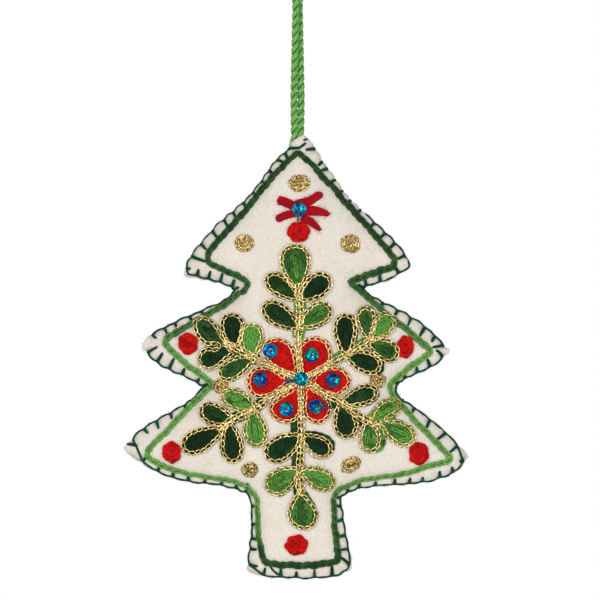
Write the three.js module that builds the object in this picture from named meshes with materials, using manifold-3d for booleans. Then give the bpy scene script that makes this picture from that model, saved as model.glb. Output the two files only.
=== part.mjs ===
// A stuffed felt Christmas tree with folk embroidery, hanging from a loop of twisted cord.
// Millimetres, +Z up, the embroidered face towards -Y. The origin is the inside top of the cord
// loop, where a hook or twig carries the ornament. Places on the tree are written as
// [across, down]: millimetres to the right of the tree's axis and below its tip.

import * as THREE from 'three';
import Module from 'manifold-3d';

const wasm = await Module();
wasm.setup();

// Felt body
const FELT_THICKNESS = 1.6;
const CROWN_HEIGHT = 7; // rise of each felt face over its seam where the stuffing is fullest
const CROWN_REACH = 9; // distance from the rim over which most of that rise happens
const SEAM_GAP = 0.3; // between the two felt layers at the rim
const STUFFING_INSET = 3; // from the rim to the edge of the stuffing
const STUFFING_CLEARANCE = 0.7; // between the stuffing and the felt round it

// Cord
const CORD_DIAMETER = 2.1;
const CORD_SIDES = 8;
const CORD_STEPS = 48;
const CORD_ACROSS = -0.55; // from the tree's axis to the middle of the two strands
const TAIL_LENGTH = 8; // how far the cord's two ends reach between the felt layers

// Sewing threads and embroidery
const CLEARANCE = 0.3; // between one piece and the next
const STITCH_LIFT = 0.6; // between the felt and the embroidery on it
const RIM_THREAD = 0.7; // thickness of the blanket-stitch thread along the seam
const BORDER_WIDTH = 1.5;
const BORDER_THICKNESS = 1;
const BORDER_STEP = 3; // length of one straight stretch of the border line
const WOOL_THICKNESS = 0.7; // leaves, petals, dots and star
const STEM_WIDTH = 2.6;
const STEM_RISE = 0.2; // how much prouder a stem stands than its leaves
const GOLD_WIDTH = 2.4; // two rows of gold chain stitch side by side
const GOLD_THICKNESS = 0.6;
const GOLD_OUTLINE = 0.7; // half the width of the gold line that runs round leaves and petals
const GOLD_START = 3; // from the flower's centre to the inner end of each gold line
const SEQUIN_DIAMETER = 4;
const SEQUIN_HOLE = 1;
const SEQUIN_THICKNESS = 0.3;
const SEQUIN_CUP = 0.4; // how far a sequin's rim stands above its centre

// Facets
const COLUMN_STEPS = 13;
const STUFFING_STEPS = 8;
const EDGE_STEPS = [8, 3, 5, 4, 5, 6, 4, 3];
const PAD_SIDES = 12;
const SEQUIN_SIDES = 10;

// The silhouette over the rim thread, edge by edge from the tip down. Each edge starts where the
// last one ended: upper and lower edge of three tiers, trunk side, half of the trunk's foot.
const LEFT_TIP = [-3, 0];
const LEFT_EDGES = [
  [[-10.7, 10.7], [-24.3, 24.9], [-31.5, 34.0], [-32.9, 38.6]],
  [[-26.1, 40.3], [-18.4, 42.7]],
  [[-30.0, 49.1], [-39.7, 53.5], [-44.8, 59.4]],
  [[-39.7, 64.5], [-31.2, 68.5], [-27.5, 70.7]],
  [[-36.3, 76.6], [-45.4, 82.7], [-50.0, 88.1]],
  [[-45.1, 92.1], [-35.4, 96.9], [-19.2, 99.4], [-14.1, 101.2]],
  [[-14.0, 111.2], [-15.2, 122.3]],
  [[-10.7, 124.0], [-4.4, 124.7]],
];
const RIGHT_TIP = [2.3, 0];
const RIGHT_EDGES = [
  [[10.1, 10.7], [22.9, 24.9], [29.8, 32.3], [31.2, 35.4]],
  [[25.2, 40.1], [17.8, 42.1]],
  [[28.6, 48.1], [37.2, 53.7], [42.6, 60.2]],
  [[37.7, 64.6], [29.8, 68.2], [26.9, 70.7]],
  [[33.2, 76.4], [41.7, 83.3], [48.3, 90.4]],
  [[44.3, 94.5], [34.9, 97.9], [16.7, 99.4], [11.8, 101.8]],
  [[13.0, 111.2], [15.2, 121.4]],
  [[11.0, 123.8], [4.7, 124.7]],
];

// The green line stitched inside the rim, corner by corner round the tree.
const BORDER_LINE = [
  [-0.4, 3.6], [-14.8, 19.6], [-26.9, 32.6], [-25.8, 34.9], [-15.6, 39.8], [-14.4, 40.6],
  [-15.5, 41.5], [-38.0, 56.5], [-38.6, 58.2], [-24.6, 69.3], [-43.4, 89.0], [-42.6, 90.4],
  [-33.2, 94.9], [-16.1, 98.1], [-11.8, 101.8], [-11.8, 112.6], [-10.4, 120.3], [0.1, 121.4],
  [11.0, 120.0], [9.8, 111.2], [9.5, 100.9], [17.2, 96.9], [30.0, 95.2], [42.8, 91.8],
  [43.7, 90.7], [26.3, 71.9], [25.8, 69.6], [37.2, 61.1], [37.7, 59.6], [14.7, 40.0],
  [26.9, 36.4], [27.5, 33.9], [13.6, 19.6],
];

// Six sprigs round the flower. The gold line runs along the whole stem, the wool only from the
// petals outwards. A leaf is [root on the stem, tip, width].
const FLOWER_CENTRE = [0.4, 68.2];
const SPRIGS = {
  top: {
    stem: [[-0.5, 56.2], [-0.1, 53.7], [0, 45.7], [-0.3, 40.9]],
    leaves: [
      [[-0.4, 42.0], [-1.4, 30.0], 7.7],
      [[-0.7, 45.4], [-9.3, 38.9], 4.8],
      [[-0.4, 53.7], [-10.1, 47.1], 5.4],
      [[0.1, 45.4], [8.5, 39.1], 5.7],
      [[0.1, 53.1], [8.7, 47.4], 5.4],
    ],
  },
  upper_left: {
    stem: [[-12.0, 62.8], [-16.9, 59.9], [-21.5, 57.7]],
    leaves: [
      [[-20.4, 58.8], [-29.5, 52.0], 5.1],
      [[-18.4, 58.8], [-18.9, 49.8], 5.4],
      [[-13.6, 61.9], [-13.2, 52.7], 5.8],
      [[-18.2, 59.7], [-28.0, 63.1], 5.1],
      [[-13.1, 61.7], [-22.2, 67.0], 4.6],
    ],
  },
  upper_right: {
    stem: [[9.4, 63.5], [13.2, 61.4], [16.9, 59.1], [21.2, 56.5]],
    leaves: [
      [[13.5, 61.2], [13.0, 50.0], 5.3],
      [[19.8, 57.4], [18.1, 48.3], 4.3],
      [[20.4, 56.8], [25.8, 50.5], 4.8],
      [[19.2, 57.7], [27.5, 61.9], 4.8],
      [[13.2, 61.4], [22.9, 64.8], 4.8],
    ],
  },
  lower_left: {
    stem: [[-9.8, 74.5], [-12.1, 76.2], [-16.1, 78.4], [-19.5, 80.1], [-22.9, 83.0]],
    leaves: [
      [[-12.4, 76.4], [-21.9, 72.5], 4.8],
      [[-18.9, 80.0], [-27.8, 76.4], 5.1],
      [[-22.1, 82.4], [-32.9, 87.5], 5.1],
      [[-20.1, 80.6], [-18.5, 91.2], 4.7],
      [[-13.5, 77.0], [-12.4, 87.3], 5.3],
    ],
  },
  lower_right: {
    stem: [[9.2, 73.3], [11.5, 74.4], [15.5, 77.6], [18.9, 79.9], [22.9, 81.3]],
    leaves: [
      [[12.4, 75.2], [22.2, 71.6], 4.6],
      [[11.7, 74.7], [13.8, 85.3], 5.7],
      [[19.7, 79.9], [20.1, 88.7], 5.1],
      [[18.8, 80.2], [28.0, 75.0], 4.0],
      [[21.8, 80.9], [32.3, 85.3], 4.7],
    ],
  },
  bottom: {
    stem: [[0.6, 81.2], [0.4, 85.6], [0, 94.1], [0.3, 100.9]],
    leaves: [
      [[0.3, 99.8], [1.0, 111.2], 8.0],
      [[0.1, 84.7], [-9.0, 90.4], 5.4],
      [[-0.3, 94.1], [-9.0, 99.8], 6.0],
      [[0.7, 85.0], [8.8, 89.5], 4.8],
      [[0.4, 94.4], [9.7, 98.4], 5.1],
    ],
  },
};

// Six petals round the flower's centre: [inner end, outer end, width].
const PETALS = {
  upper_left: [[-2.4, 66.2], [-9.3, 57.9], 6.3],
  upper_right: [[1.8, 66.4], [5.6, 56.9], 6.8],
  left: [[-3.4, 68.8], [-14.5, 69.6], 6.8],
  right: [[4.0, 68.7], [14.4, 68.6], 6.8],
  lower_left: [[-0.9, 71.2], [-5.0, 80.1], 6.5],
  lower_right: [[2.0, 71.2], [5.8, 80.1], 6.3],
};

// Sequins lie on a petal or on the star, apart from the one on the flower's centre.
const SEQUINS = {
  upper_left: [-8.1, 60.2],
  upper_right: [3.3, 61.4],
  left: [-11.0, 68.2],
  right: [9.5, 68.5],
  lower_left: [-3.7, 76.7],
  lower_right: [4.6, 75.9],
  star: [-0.1, 19.9],
  centre: FLOWER_CENTRE,
};

// Spiral dots: [centre, half width, half height].
const RED_DOTS = {
  under_star: [[-0.3, 26.3], 3.1, 3.1],
  middle_left: [[-31.7, 58.2], 2.8, 3.1],
  middle_right: [[30.0, 59.1], 2.4, 3.3],
  lower_left: [[-36.3, 89.0], 2.7, 3.1],
  lower_right: [[34.0, 89.3], 2.7, 3.1],
  trunk: [[-1.0, 115.4], 3.1, 3.0],
};
const GOLD_DOTS = {
  top: [[0, 12.6], 3.1, 2.6],
  top_left: [[-15.6, 29.6], 2.7, 2.7],
  top_right: [[14.4, 29.8], 2.8, 2.8],
  middle_left: [[-21.9, 69.9], 1.8, 2.0],
  middle_right: [[22.1, 68.5], 2.2, 2.2],
  bottom_left: [[-14.1, 93.8], 2.3, 2.2],
  bottom_right: [[14.5, 92.4], 3.0, 2.3],
};

// The star's outline, point and hollow in turn.
const STAR = [
  [-6.4, 16.7], [-3.0, 19.3], [-6.7, 22.9], [-1.9, 21.2], [-0.1, 22.2], [6.1, 25.8],
  [2.1, 21.5], [9.3, 21.8], [1.9, 19.5], [6.7, 14.9], [-0.1, 17.4], [-2.7, 17.5],
];

// The cord from its left end at the tip, up and round the loop and down again: across from the
// middle of its strands, back, and up from the tip. The right strand lies behind the left one.
const CORD_ROUTE = [
  [-1.25, 0, 0], [-1.25, 0, 4], [-1.15, -0.45, 12], [-0.95, -0.8, 22], [-0.75, -0.98, 32],
  [-0.75, -0.98, 40], [-2.2, -0.8, 45.5], [-4.6, -0.4, 50.5], [-6, 0, 56], [-5.2, 0, 60],
  [-3, 0, 62.4], [0, 0, 63.2], [3, 0, 62.4], [5.2, 0, 60], [6, 0, 56], [4.6, 0.4, 50.5],
  [2.2, 0.8, 45.5], [0.75, 0.98, 40], [0.75, 0.98, 32], [0.95, 0.8, 22], [1.15, 0.45, 12],
  [1.25, 0, 4], [1.25, 0, 0],
];

// Values that follow from the sizes above
const CORD_RADIUS = CORD_DIAMETER / 2;
const STRAND_OFFSET = CORD_ROUTE[CORD_ROUTE.length - 1][0];
const LOOP_TOP = Math.max(...CORD_ROUTE.map((point) => point[2]));
const TIP_HEIGHT = CORD_RADIUS - LOOP_TOP;
const WOOL_TOP = STITCH_LIFT + WOOL_THICKNESS;
const STEM_BOTTOM = STITCH_LIFT + STEM_RISE;
const STEM_TOP = WOOL_TOP + STEM_RISE;
const GOLD_BOTTOM = STEM_TOP + CLEARANCE;

function felt(color) {
  return new THREE.MeshStandardMaterial({ color, roughness: 0.95, metalness: 0 });
}

function thread(color, roughness = 0.85, metalness = 0) {
  return new THREE.MeshStandardMaterial({ color, roughness, metalness });
}

const CREAM_FELT = felt(0xe9e4d8);
const WHITE_FIBRE = felt(0xf4f2ec);
const CORD_GREEN = thread(0x4f9a3c);
const RIM_GREEN = thread(0x0c4a38);
const BORDER_GREEN = thread(0x3f7a34);
const LEAF_GREEN = thread(0x2a5a26);
const PETAL_RED = thread(0xc01a17);
const GOLD_THREAD = thread(0xbf9f55, 0.4, 0.8);
const SEQUIN_BLUE = thread(0x1379b8, 0.15, 0.6);

// Joins a net of points, rows by columns, to a second net behind it into one closed body. A ring
// of rows closes on itself, and otherwise the first and last rows are walled off.
function closedBody(top, bottom, ring = false) {
  const rows = top.length;
  const columns = top[0].length;
  const points = [...top.flat(), ...bottom.flat()];
  const index = [];
  const at = (layer, row, column) => (layer * rows + (row % rows)) * columns + column;
  const quad = (a, b, c, d) => index.push(a, b, c, a, c, d);
  const lastRow = ring ? rows : rows - 1;
  for (let r = 0; r < lastRow; r++) {
    for (let c = 0; c < columns - 1; c++) {
      quad(at(0, r, c), at(0, r + 1, c), at(0, r + 1, c + 1), at(0, r, c + 1));
      quad(at(1, r, c), at(1, r, c + 1), at(1, r + 1, c + 1), at(1, r + 1, c));
    }
    quad(at(0, r, 0), at(1, r, 0), at(1, r + 1, 0), at(0, r + 1, 0));
    const e = columns - 1;
    quad(at(0, r, e), at(0, r + 1, e), at(1, r + 1, e), at(1, r, e));
  }
  for (let c = 0; c < columns - 1 && !ring; c++) {
    const e = rows - 1;
    quad(at(0, 0, c), at(0, 0, c + 1), at(1, 0, c + 1), at(1, 0, c));
    quad(at(0, e, c), at(1, e, c), at(1, e, c + 1), at(0, e, c + 1));
  }
  return facingOut(points, index);
}

// Makes a geometry of the points and triangles, turned so that its faces point out.
function facingOut(points, index) {
  let volume = 0;
  const cross = new THREE.Vector3();
  for (let i = 0; i < index.length; i += 3) {
    const [a, b, c] = [points[index[i]], points[index[i + 1]], points[index[i + 2]]];
    volume += a.dot(cross.crossVectors(b, c));
  }
  if (volume < 0) {
    index.reverse();
  }
  const geometry = new THREE.BufferGeometry();
  const coordinates = points.flatMap((point) => point.toArray());
  geometry.setAttribute('position', new THREE.Float32BufferAttribute(coordinates, 3));
  geometry.setIndex(index);
  return geometry;
}

// Joins closed bodies that reach into each other into one.
function union(geometries) {
  const solids = geometries.map((geometry) => {
    const vertProperties = Float32Array.from(geometry.getAttribute('position').array);
    const triVerts = Uint32Array.from(geometry.getIndex().array);
    return new wasm.Manifold(new wasm.Mesh({ numProp: 3, vertProperties, triVerts }));
  });
  const mesh = solids.reduce((whole, solid) => whole.add(solid)).getMesh();
  const geometry = new THREE.BufferGeometry();
  geometry.setAttribute('position', new THREE.Float32BufferAttribute(mesh.vertProperties, 3));
  geometry.setIndex(Array.from(mesh.triVerts));
  return geometry;
}

// Points along one side of the silhouette, with the same number on the left and on the right.
function sidePoints(tip, edges) {
  const points = [new THREE.Vector2(...tip)];
  edges.forEach((edge, i) => {
    const corner = points[points.length - 1];
    const knots = [corner.toArray(), ...edge].map(([x, down]) => new THREE.Vector3(x, down, 0));
    const curve = new THREE.CatmullRomCurve3(knots, false, 'centripetal');
    for (let step = 1; step <= EDGE_STEPS[i]; step++) {
      const { x, y } = curve.getPointAt(step / EDGE_STEPS[i]);
      points.push(new THREE.Vector2(x, y));
    }
  });
  return points;
}

// For each corner of a closed outline, the step that moves its two sides outwards by one unit.
function outwardSteps(outline) {
  const normal = (a, b) => {
    const along = b.clone().sub(a).normalize();
    return new THREE.Vector2(-along.y, along.x);
  };
  const count = outline.length;
  return outline.map((point, i) => {
    const before = normal(outline[(i + count - 1) % count], point);
    const after = normal(point, outline[(i + 1) % count]);
    return before.clone().add(after).divideScalar(1 + before.dot(after));
  });
}

const LEFT_SIDE = sidePoints(LEFT_TIP, LEFT_EDGES);
const RIGHT_SIDE = sidePoints(RIGHT_TIP, RIGHT_EDGES);
const SILHOUETTE = [...LEFT_SIDE, ...RIGHT_SIDE.toReversed()];
const OUTWARD = outwardSteps(SILHOUETTE);
const RIM_INSET = RIM_THREAD + CLEARANCE;
const RIM = SILHOUETTE.map((point, i) => point.clone().addScaledVector(OUTWARD[i], -RIM_INSET));
const ROW_ENDS = LEFT_SIDE.map((_, i) => [RIM[i], RIM[RIM.length - 1 - i]]);

// Distance from the rim, rounded off along the ridges where the nearest edge changes: each rim
// segment adds its pull, and a single long edge alone gives the true distance.
function rimDistance(x, down) {
  const tiny = 1e-9;
  let pull = 0;
  RIM.forEach((start, i) => {
    const end = RIM[(i + 1) % RIM.length];
    const along = end.clone().sub(start).normalize();
    const first = (start.x - x) * along.x + (start.y - down) * along.y;
    const last = (end.x - x) * along.x + (end.y - down) * along.y;
    const off = (start.x - x) * along.y - (start.y - down) * along.x;
    const square = Math.max(off * off, tiny);
    const share = (reach) => reach / Math.sqrt(square + reach * reach);
    pull += (share(last) - share(first)) / square;
  });
  return Math.sqrt(2 / Math.max(pull, tiny));
}

// Half the space between the felt layers: the stuffed crown, and the mouth round the cord ends.
function innerDepth(x, down) {
  const crown = CROWN_HEIGHT * (1 - Math.exp(-rimDistance(x, down) / CROWN_REACH));
  const mouthWidth = STRAND_OFFSET + CORD_RADIUS + CLEARANCE;
  const mouthHeight = CORD_RADIUS + 1.5 * CLEARANCE;
  const inMouth = Math.exp(-(((x - CORD_ACROSS) / mouthWidth) ** 4) - (down / TAIL_LENGTH) ** 2);
  return SEAM_GAP / 2 + Math.hypot(crown, mouthHeight * inMouth);
}

function outerDepth(x, down) {
  return innerDepth(x, down) + FELT_THICKNESS;
}

// Places across one row of the felt, closer together towards the rim.
function acrossRow([left, right], steps) {
  const places = [];
  for (let c = 0; c <= steps; c++) {
    const share = 0.5 + 0.5 * Math.sin((c / steps - 0.5) * Math.PI);
    places.push(left.clone().lerp(right, share));
  }
  return places;
}

// The facets of the embroidered face, each as three corners with their depth.
const FACETS = [];
const FACE_NET = ROW_ENDS.map((ends) => acrossRow(ends, COLUMN_STEPS).map(
  ({ x, y }) => new THREE.Vector3(x, y, outerDepth(x, y))));
for (let r = 0; r < FACE_NET.length - 1; r++) {
  for (let c = 0; c < COLUMN_STEPS; c++) {
    const opposite = FACE_NET[r + 1][c + 1];
    FACETS.push([FACE_NET[r][c], FACE_NET[r + 1][c], opposite]);
    FACETS.push([FACE_NET[r][c], opposite, FACE_NET[r][c + 1]]);
  }
}

// Depth of the facet that lies under a place.
function faceDepth(x, down) {
  const slack = -1e-6;
  for (const [a, b, c] of FACETS) {
    const area = (b.x - a.x) * (c.y - a.y) - (c.x - a.x) * (b.y - a.y);
    const v = ((x - a.x) * (c.y - a.y) - (c.x - a.x) * (down - a.y)) / area;
    const w = ((b.x - a.x) * (down - a.y) - (x - a.x) * (b.y - a.y)) / area;
    if (v >= slack && w >= slack && v + w <= 1 - slack) {
      return a.z + v * (b.z - a.z) + w * (c.z - a.z);
    }
  }
  return outerDepth(x, down);
}

// A point above the embroidered face.
function onFace(x, down, lift) {
  return new THREE.Vector3(x, -faceDepth(x, down) - lift, -down);
}

// One felt layer. The facing is -1 for the embroidered front and 1 for the back.
function feltPanel(facing) {
  const layer = (depth) => ROW_ENDS.map((ends) => acrossRow(ends, COLUMN_STEPS).map(
    ({ x, y }) => new THREE.Vector3(x, facing * depth(x, y), -y)));
  return closedBody(layer(outerDepth), layer(innerDepth));
}

// The fibre filling fits inside the felt, away from the rim and below the cord's ends.
function stuffing() {
  const reach = (middle, end) => {
    let [inside, outside] = [0, 1];
    for (let halving = 0; halving < 24; halving++) {
      const share = (inside + outside) / 2;
      const { x, y } = middle.clone().lerp(end, share);
      if (rimDistance(x, y) > STUFFING_INSET) {
        inside = share;
      } else {
        outside = share;
      }
    }
    return middle.clone().lerp(end, inside);
  };
  const top = TAIL_LENGTH + CLEARANCE + STUFFING_CLEARANCE;
  const rows = ROW_ENDS.map(([left, right]) => {
    const middle = left.clone().lerp(right, 0.5);
    const filled = rimDistance(middle.x, middle.y) > STUFFING_INSET && middle.y > top;
    return filled ? [reach(middle, left), reach(middle, right)] : null;
  }).filter((row) => row !== null);
  const layer = (facing) => rows.map((ends) => acrossRow(ends, STUFFING_STEPS).map(
    ({ x, y }) => new THREE.Vector3(x, facing * (innerDepth(x, y) - STUFFING_CLEARANCE), -y)));
  return closedBody(layer(-1), layer(1));
}

// The thread along the seam, from one side of the cord round to the other.
function rimThread() {
  const half = RIM_THREAD / 2;
  const middle = CLEARANCE + half;
  const section = [[middle - half, 0], [middle, -half], [middle + half, 0], [middle, half]];
  const rings = RIM.slice(1, -1).map((point, i) => section.map(([out, back]) => {
    const place = point.clone().addScaledVector(OUTWARD[i + 1], out);
    return new THREE.Vector3(place.x, back, -place.y);
  }));
  return closedBody(
    rings.map(([inner, front, outer]) => [inner, front, outer]),
    rings.map(([inner, , outer, back]) => [inner, back, outer]),
  );
}

// Splits a line of corners into short straight stretches.
function inShortSteps(corners, step, closed) {
  const places = [];
  const count = closed ? corners.length : corners.length - 1;
  for (let i = 0; i < count; i++) {
    const start = new THREE.Vector2(...corners[i]);
    const end = new THREE.Vector2(...corners[(i + 1) % corners.length]);
    const parts = Math.max(1, Math.round(start.distanceTo(end) / step));
    for (let p = 0; p < parts; p++) {
      places.push(start.clone().lerp(end, p / parts));
    }
  }
  if (!closed) {
    places.push(new THREE.Vector2(...corners[corners.length - 1]));
  }
  return places;
}

// A flat line of thread on the embroidered face.
function ribbon(places, width, lowLift, highLift, closed = false) {
  const last = places.length - 1;
  const sides = places.map((place, i) => {
    const before = places[i === 0 ? (closed ? last : 0) : i - 1];
    const after = places[i === last ? (closed ? 0 : last) : i + 1];
    const arriving = place.clone().sub(before).normalize();
    const leaving = after.clone().sub(place).normalize();
    const along = arriving.clone().add(leaving).normalize();
    const sharpness = Math.max(along.dot(arriving.lengthSq() > 0 ? arriving : leaving), 0.8);
    return new THREE.Vector2(-along.y, along.x).multiplyScalar(width / 2 / sharpness);
  });
  const net = (lift) => places.map((place, i) => [-1, 1].map((side) => {
    const spot = place.clone().addScaledVector(sides[i], side);
    return onFace(spot.x, spot.y, lift);
  }));
  return closedBody(net(highLift), net(lowLift), closed);
}

// A stitched patch on the embroidered face, filled out from its middle.
function patch(outline, lowLift, highLift) {
  const count = outline.length;
  const middle = outline.reduce((sum, place) => sum.add(place), new THREE.Vector2());
  middle.divideScalar(count);
  const points = [onFace(middle.x, middle.y, highLift), onFace(middle.x, middle.y, lowLift)];
  outline.forEach(({ x, y }) => points.push(onFace(x, y, highLift), onFace(x, y, lowLift)));
  const index = [];
  for (let i = 0; i < count; i++) {
    const here = 2 + 2 * i;
    const next = 2 + 2 * ((i + 1) % count);
    index.push(0, here, next, 1, next + 1, here + 1);
    index.push(here, here + 1, next + 1, here, next + 1, next);
  }
  return facingOut(points, index);
}

// An egg-shaped outline from a narrow root to a broad tip, inside its gold line.
function eggOutline([rootPoint, tipPoint, width], taper) {
  const root = new THREE.Vector2(...rootPoint);
  const length = new THREE.Vector2(...tipPoint).sub(root);
  const along = length.clone().normalize();
  const across = new THREE.Vector2(-along.y, along.x);
  const reach = length.length() - GOLD_OUTLINE;
  const half = width / 2 - GOLD_OUTLINE;
  const places = [];
  for (let i = 0; i < PAD_SIDES; i++) {
    const turn = (2 * Math.PI * i) / PAD_SIDES;
    const out = half * Math.sin(turn) * (1 - taper * Math.cos(turn));
    const far = reach * (0.5 - 0.5 * Math.cos(turn));
    places.push(root.clone().addScaledVector(along, far).addScaledVector(across, out));
  }
  return places;
}

function ovalOutline([centre, halfWidth, halfHeight]) {
  const places = [];
  for (let i = 0; i < PAD_SIDES; i++) {
    const turn = (2 * Math.PI * i) / PAD_SIDES;
    const x = centre[0] + halfWidth * Math.cos(turn);
    const down = centre[1] + halfHeight * Math.sin(turn);
    places.push(new THREE.Vector2(x, down));
  }
  return places;
}

const LEAF_TAPER = 0.35;
const PETAL_TAPER = 0.45;

// A stem and its leaves, joined where the leaves grow out of the stem.
function sprig({ stem, leaves }) {
  const line = inShortSteps(stem, BORDER_STEP, false);
  const pads = leaves.map((leaf) => patch(eggOutline(leaf, LEAF_TAPER), STITCH_LIFT, WOOL_TOP));
  return union([ribbon(line, STEM_WIDTH, STEM_BOTTOM, STEM_TOP), ...pads]);
}

// The gold line along a stem, carried on between the petals to the flower's centre.
function goldLine({ stem }) {
  const centre = new THREE.Vector2(...FLOWER_CENTRE);
  const start = new THREE.Vector2(...stem[0]).sub(centre).setLength(GOLD_START).add(centre);
  const line = inShortSteps([start.toArray(), ...stem], BORDER_STEP, false);
  return ribbon(line, GOLD_WIDTH, GOLD_BOTTOM, GOLD_BOTTOM + GOLD_THICKNESS);
}

// A cupped disc with a hole in its middle, lying square to the felt under it.
function sequin([x, down], lift) {
  const inner = SEQUIN_HOLE / 2;
  const outer = SEQUIN_DIAMETER / 2;
  const profile = [
    [inner, 0], [outer, SEQUIN_CUP], [outer, SEQUIN_CUP + SEQUIN_THICKNESS],
    [inner, SEQUIN_THICKNESS], [inner, 0],
  ].map(([radius, height]) => new THREE.Vector2(radius, height));
  const nudge = SEQUIN_DIAMETER / 4;
  const here = onFace(x, down, 0);
  const sideways = onFace(x + nudge, down, 0).sub(onFace(x - nudge, down, 0));
  const upwards = onFace(x, down - nudge, 0).sub(onFace(x, down + nudge, 0));
  const out = sideways.cross(upwards).normalize();
  const geometry = new THREE.LatheGeometry(profile, SEQUIN_SIDES);
  geometry.applyQuaternion(
    new THREE.Quaternion().setFromUnitVectors(new THREE.Vector3(0, 1, 0), out));
  const seat = here.addScaledVector(out, lift);
  return geometry.translate(seat.x, seat.y, seat.z);
}

// The free cord, one tube from the tip round the loop and back.
function cord() {
  const points = CORD_ROUTE.map(([x, y, z]) => new THREE.Vector3(x + CORD_ACROSS, y, z));
  const section = new THREE.Shape();
  for (let i = 0; i < CORD_SIDES; i++) {
    const turn = (2 * Math.PI * i) / CORD_SIDES;
    const [x, y] = [CORD_RADIUS * Math.cos(turn), CORD_RADIUS * Math.sin(turn)];
    if (i === 0) {
      section.moveTo(x, y);
    } else {
      section.lineTo(x, y);
    }
  }
  section.closePath();
  const extrudePath = new THREE.CatmullRomCurve3(points, false, 'centripetal');
  return new THREE.ExtrudeGeometry(section, { steps: CORD_STEPS, extrudePath });
}

// The two cord ends side by side between the felt layers, sewn flat.
function cordTails() {
  const half = STRAND_OFFSET;
  const section = new THREE.Shape();
  section.absarc(half, 0, CORD_RADIUS, -Math.PI / 2, Math.PI / 2, false);
  section.absarc(-half, 0, CORD_RADIUS, Math.PI / 2, (3 * Math.PI) / 2, false);
  const options = { depth: TAIL_LENGTH, bevelEnabled: false, curveSegments: CORD_SIDES / 2 };
  const tails = new THREE.ExtrudeGeometry(section, options);
  return tails.translate(CORD_ACROSS, 0, -TAIL_LENGTH - CLEARANCE);
}

const ornament = new THREE.Group();
ornament.position.set(-CORD_ACROSS, 0, TIP_HEIGHT);

function add(name, geometry, material) {
  const mesh = new THREE.Mesh(geometry, material);
  mesh.name = name;
  ornament.add(mesh);
}

add('hanger_cord', cord(), CORD_GREEN);
add('cord_tails', cordTails(), CORD_GREEN);
add('front_felt_panel', feltPanel(-1), CREAM_FELT);
add('back_felt_panel', feltPanel(1), CREAM_FELT);
add('fibre_stuffing', stuffing(), WHITE_FIBRE);
add('rim_blanket_stitch', rimThread(), RIM_GREEN);

const borderPlaces = inShortSteps(BORDER_LINE, BORDER_STEP, true);
const borderTop = STITCH_LIFT + BORDER_THICKNESS;
const border = ribbon(borderPlaces, BORDER_WIDTH, STITCH_LIFT, borderTop, true);
add('border_stitch', border, BORDER_GREEN);

for (const [place, plan] of Object.entries(SPRIGS)) {
  add(`sprig_${place}`, sprig(plan), LEAF_GREEN);
  add(`gold_line_${place}`, goldLine(plan), GOLD_THREAD);
}
for (const [place, plan] of Object.entries(PETALS)) {
  add(`petal_${place}`, patch(eggOutline(plan, PETAL_TAPER), STITCH_LIFT, WOOL_TOP), PETAL_RED);
}
for (const [place, plan] of Object.entries(RED_DOTS)) {
  add(`red_dot_${place}`, patch(ovalOutline(plan), STITCH_LIFT, WOOL_TOP), PETAL_RED);
}
for (const [place, plan] of Object.entries(GOLD_DOTS)) {
  add(`gold_dot_${place}`, patch(ovalOutline(plan), STITCH_LIFT, WOOL_TOP), GOLD_THREAD);
}
const starOutline = STAR.map(([x, down]) => new THREE.Vector2(x, down));
add('red_star', patch(starOutline, STITCH_LIFT, WOOL_TOP), PETAL_RED);
for (const [place, spot] of Object.entries(SEQUINS)) {
  add(`sequin_${place}`, sequin(spot, WOOL_TOP + CLEARANCE), SEQUIN_BLUE);
}

export default ornament;
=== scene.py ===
# The looks of a stuffed felt tree ornament: felt, blanket stitch, embroidery, sequins and cord.
# Shapes are worked out in millimetres. A place on the tree is (across, down) from its tip, and depth
# counts outwards from the seam. place() turns points into metres in the part's frame.
import math
import random

import bmesh
import bpy
import numpy as np
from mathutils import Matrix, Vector, noise
from mathutils.geometry import delaunay_2d_cdt


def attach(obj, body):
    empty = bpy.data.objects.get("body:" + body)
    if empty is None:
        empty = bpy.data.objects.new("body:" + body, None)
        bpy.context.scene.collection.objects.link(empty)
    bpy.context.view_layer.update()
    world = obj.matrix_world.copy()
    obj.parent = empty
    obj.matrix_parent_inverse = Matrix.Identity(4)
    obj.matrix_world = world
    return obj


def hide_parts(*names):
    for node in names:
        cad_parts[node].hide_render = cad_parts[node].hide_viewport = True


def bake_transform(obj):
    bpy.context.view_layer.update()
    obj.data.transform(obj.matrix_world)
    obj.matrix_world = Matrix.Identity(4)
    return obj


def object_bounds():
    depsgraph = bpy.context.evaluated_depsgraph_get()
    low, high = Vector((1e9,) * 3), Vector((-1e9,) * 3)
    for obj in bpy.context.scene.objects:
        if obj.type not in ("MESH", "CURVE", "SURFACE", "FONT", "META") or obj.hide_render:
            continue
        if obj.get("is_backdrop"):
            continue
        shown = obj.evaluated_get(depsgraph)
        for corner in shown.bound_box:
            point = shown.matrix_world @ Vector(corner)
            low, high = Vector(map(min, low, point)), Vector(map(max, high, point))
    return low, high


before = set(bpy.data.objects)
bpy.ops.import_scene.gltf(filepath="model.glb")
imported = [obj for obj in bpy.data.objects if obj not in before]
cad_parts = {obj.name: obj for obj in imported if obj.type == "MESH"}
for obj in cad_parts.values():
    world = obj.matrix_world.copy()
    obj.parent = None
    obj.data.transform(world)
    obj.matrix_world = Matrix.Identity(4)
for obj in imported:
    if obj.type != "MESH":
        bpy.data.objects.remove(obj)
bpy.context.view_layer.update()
# Seeded chance, for single numbers and for arrays
draw = random.Random(11)
draws = np.random.default_rng(11)

MM = 0.001
# The tree's tip lies this far below the frame's middle, and the cord, which hangs on the frame's
# upright axis, this far across from the tip.
TIP_Z = -62.15
CORD_ACROSS = -0.55

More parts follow.
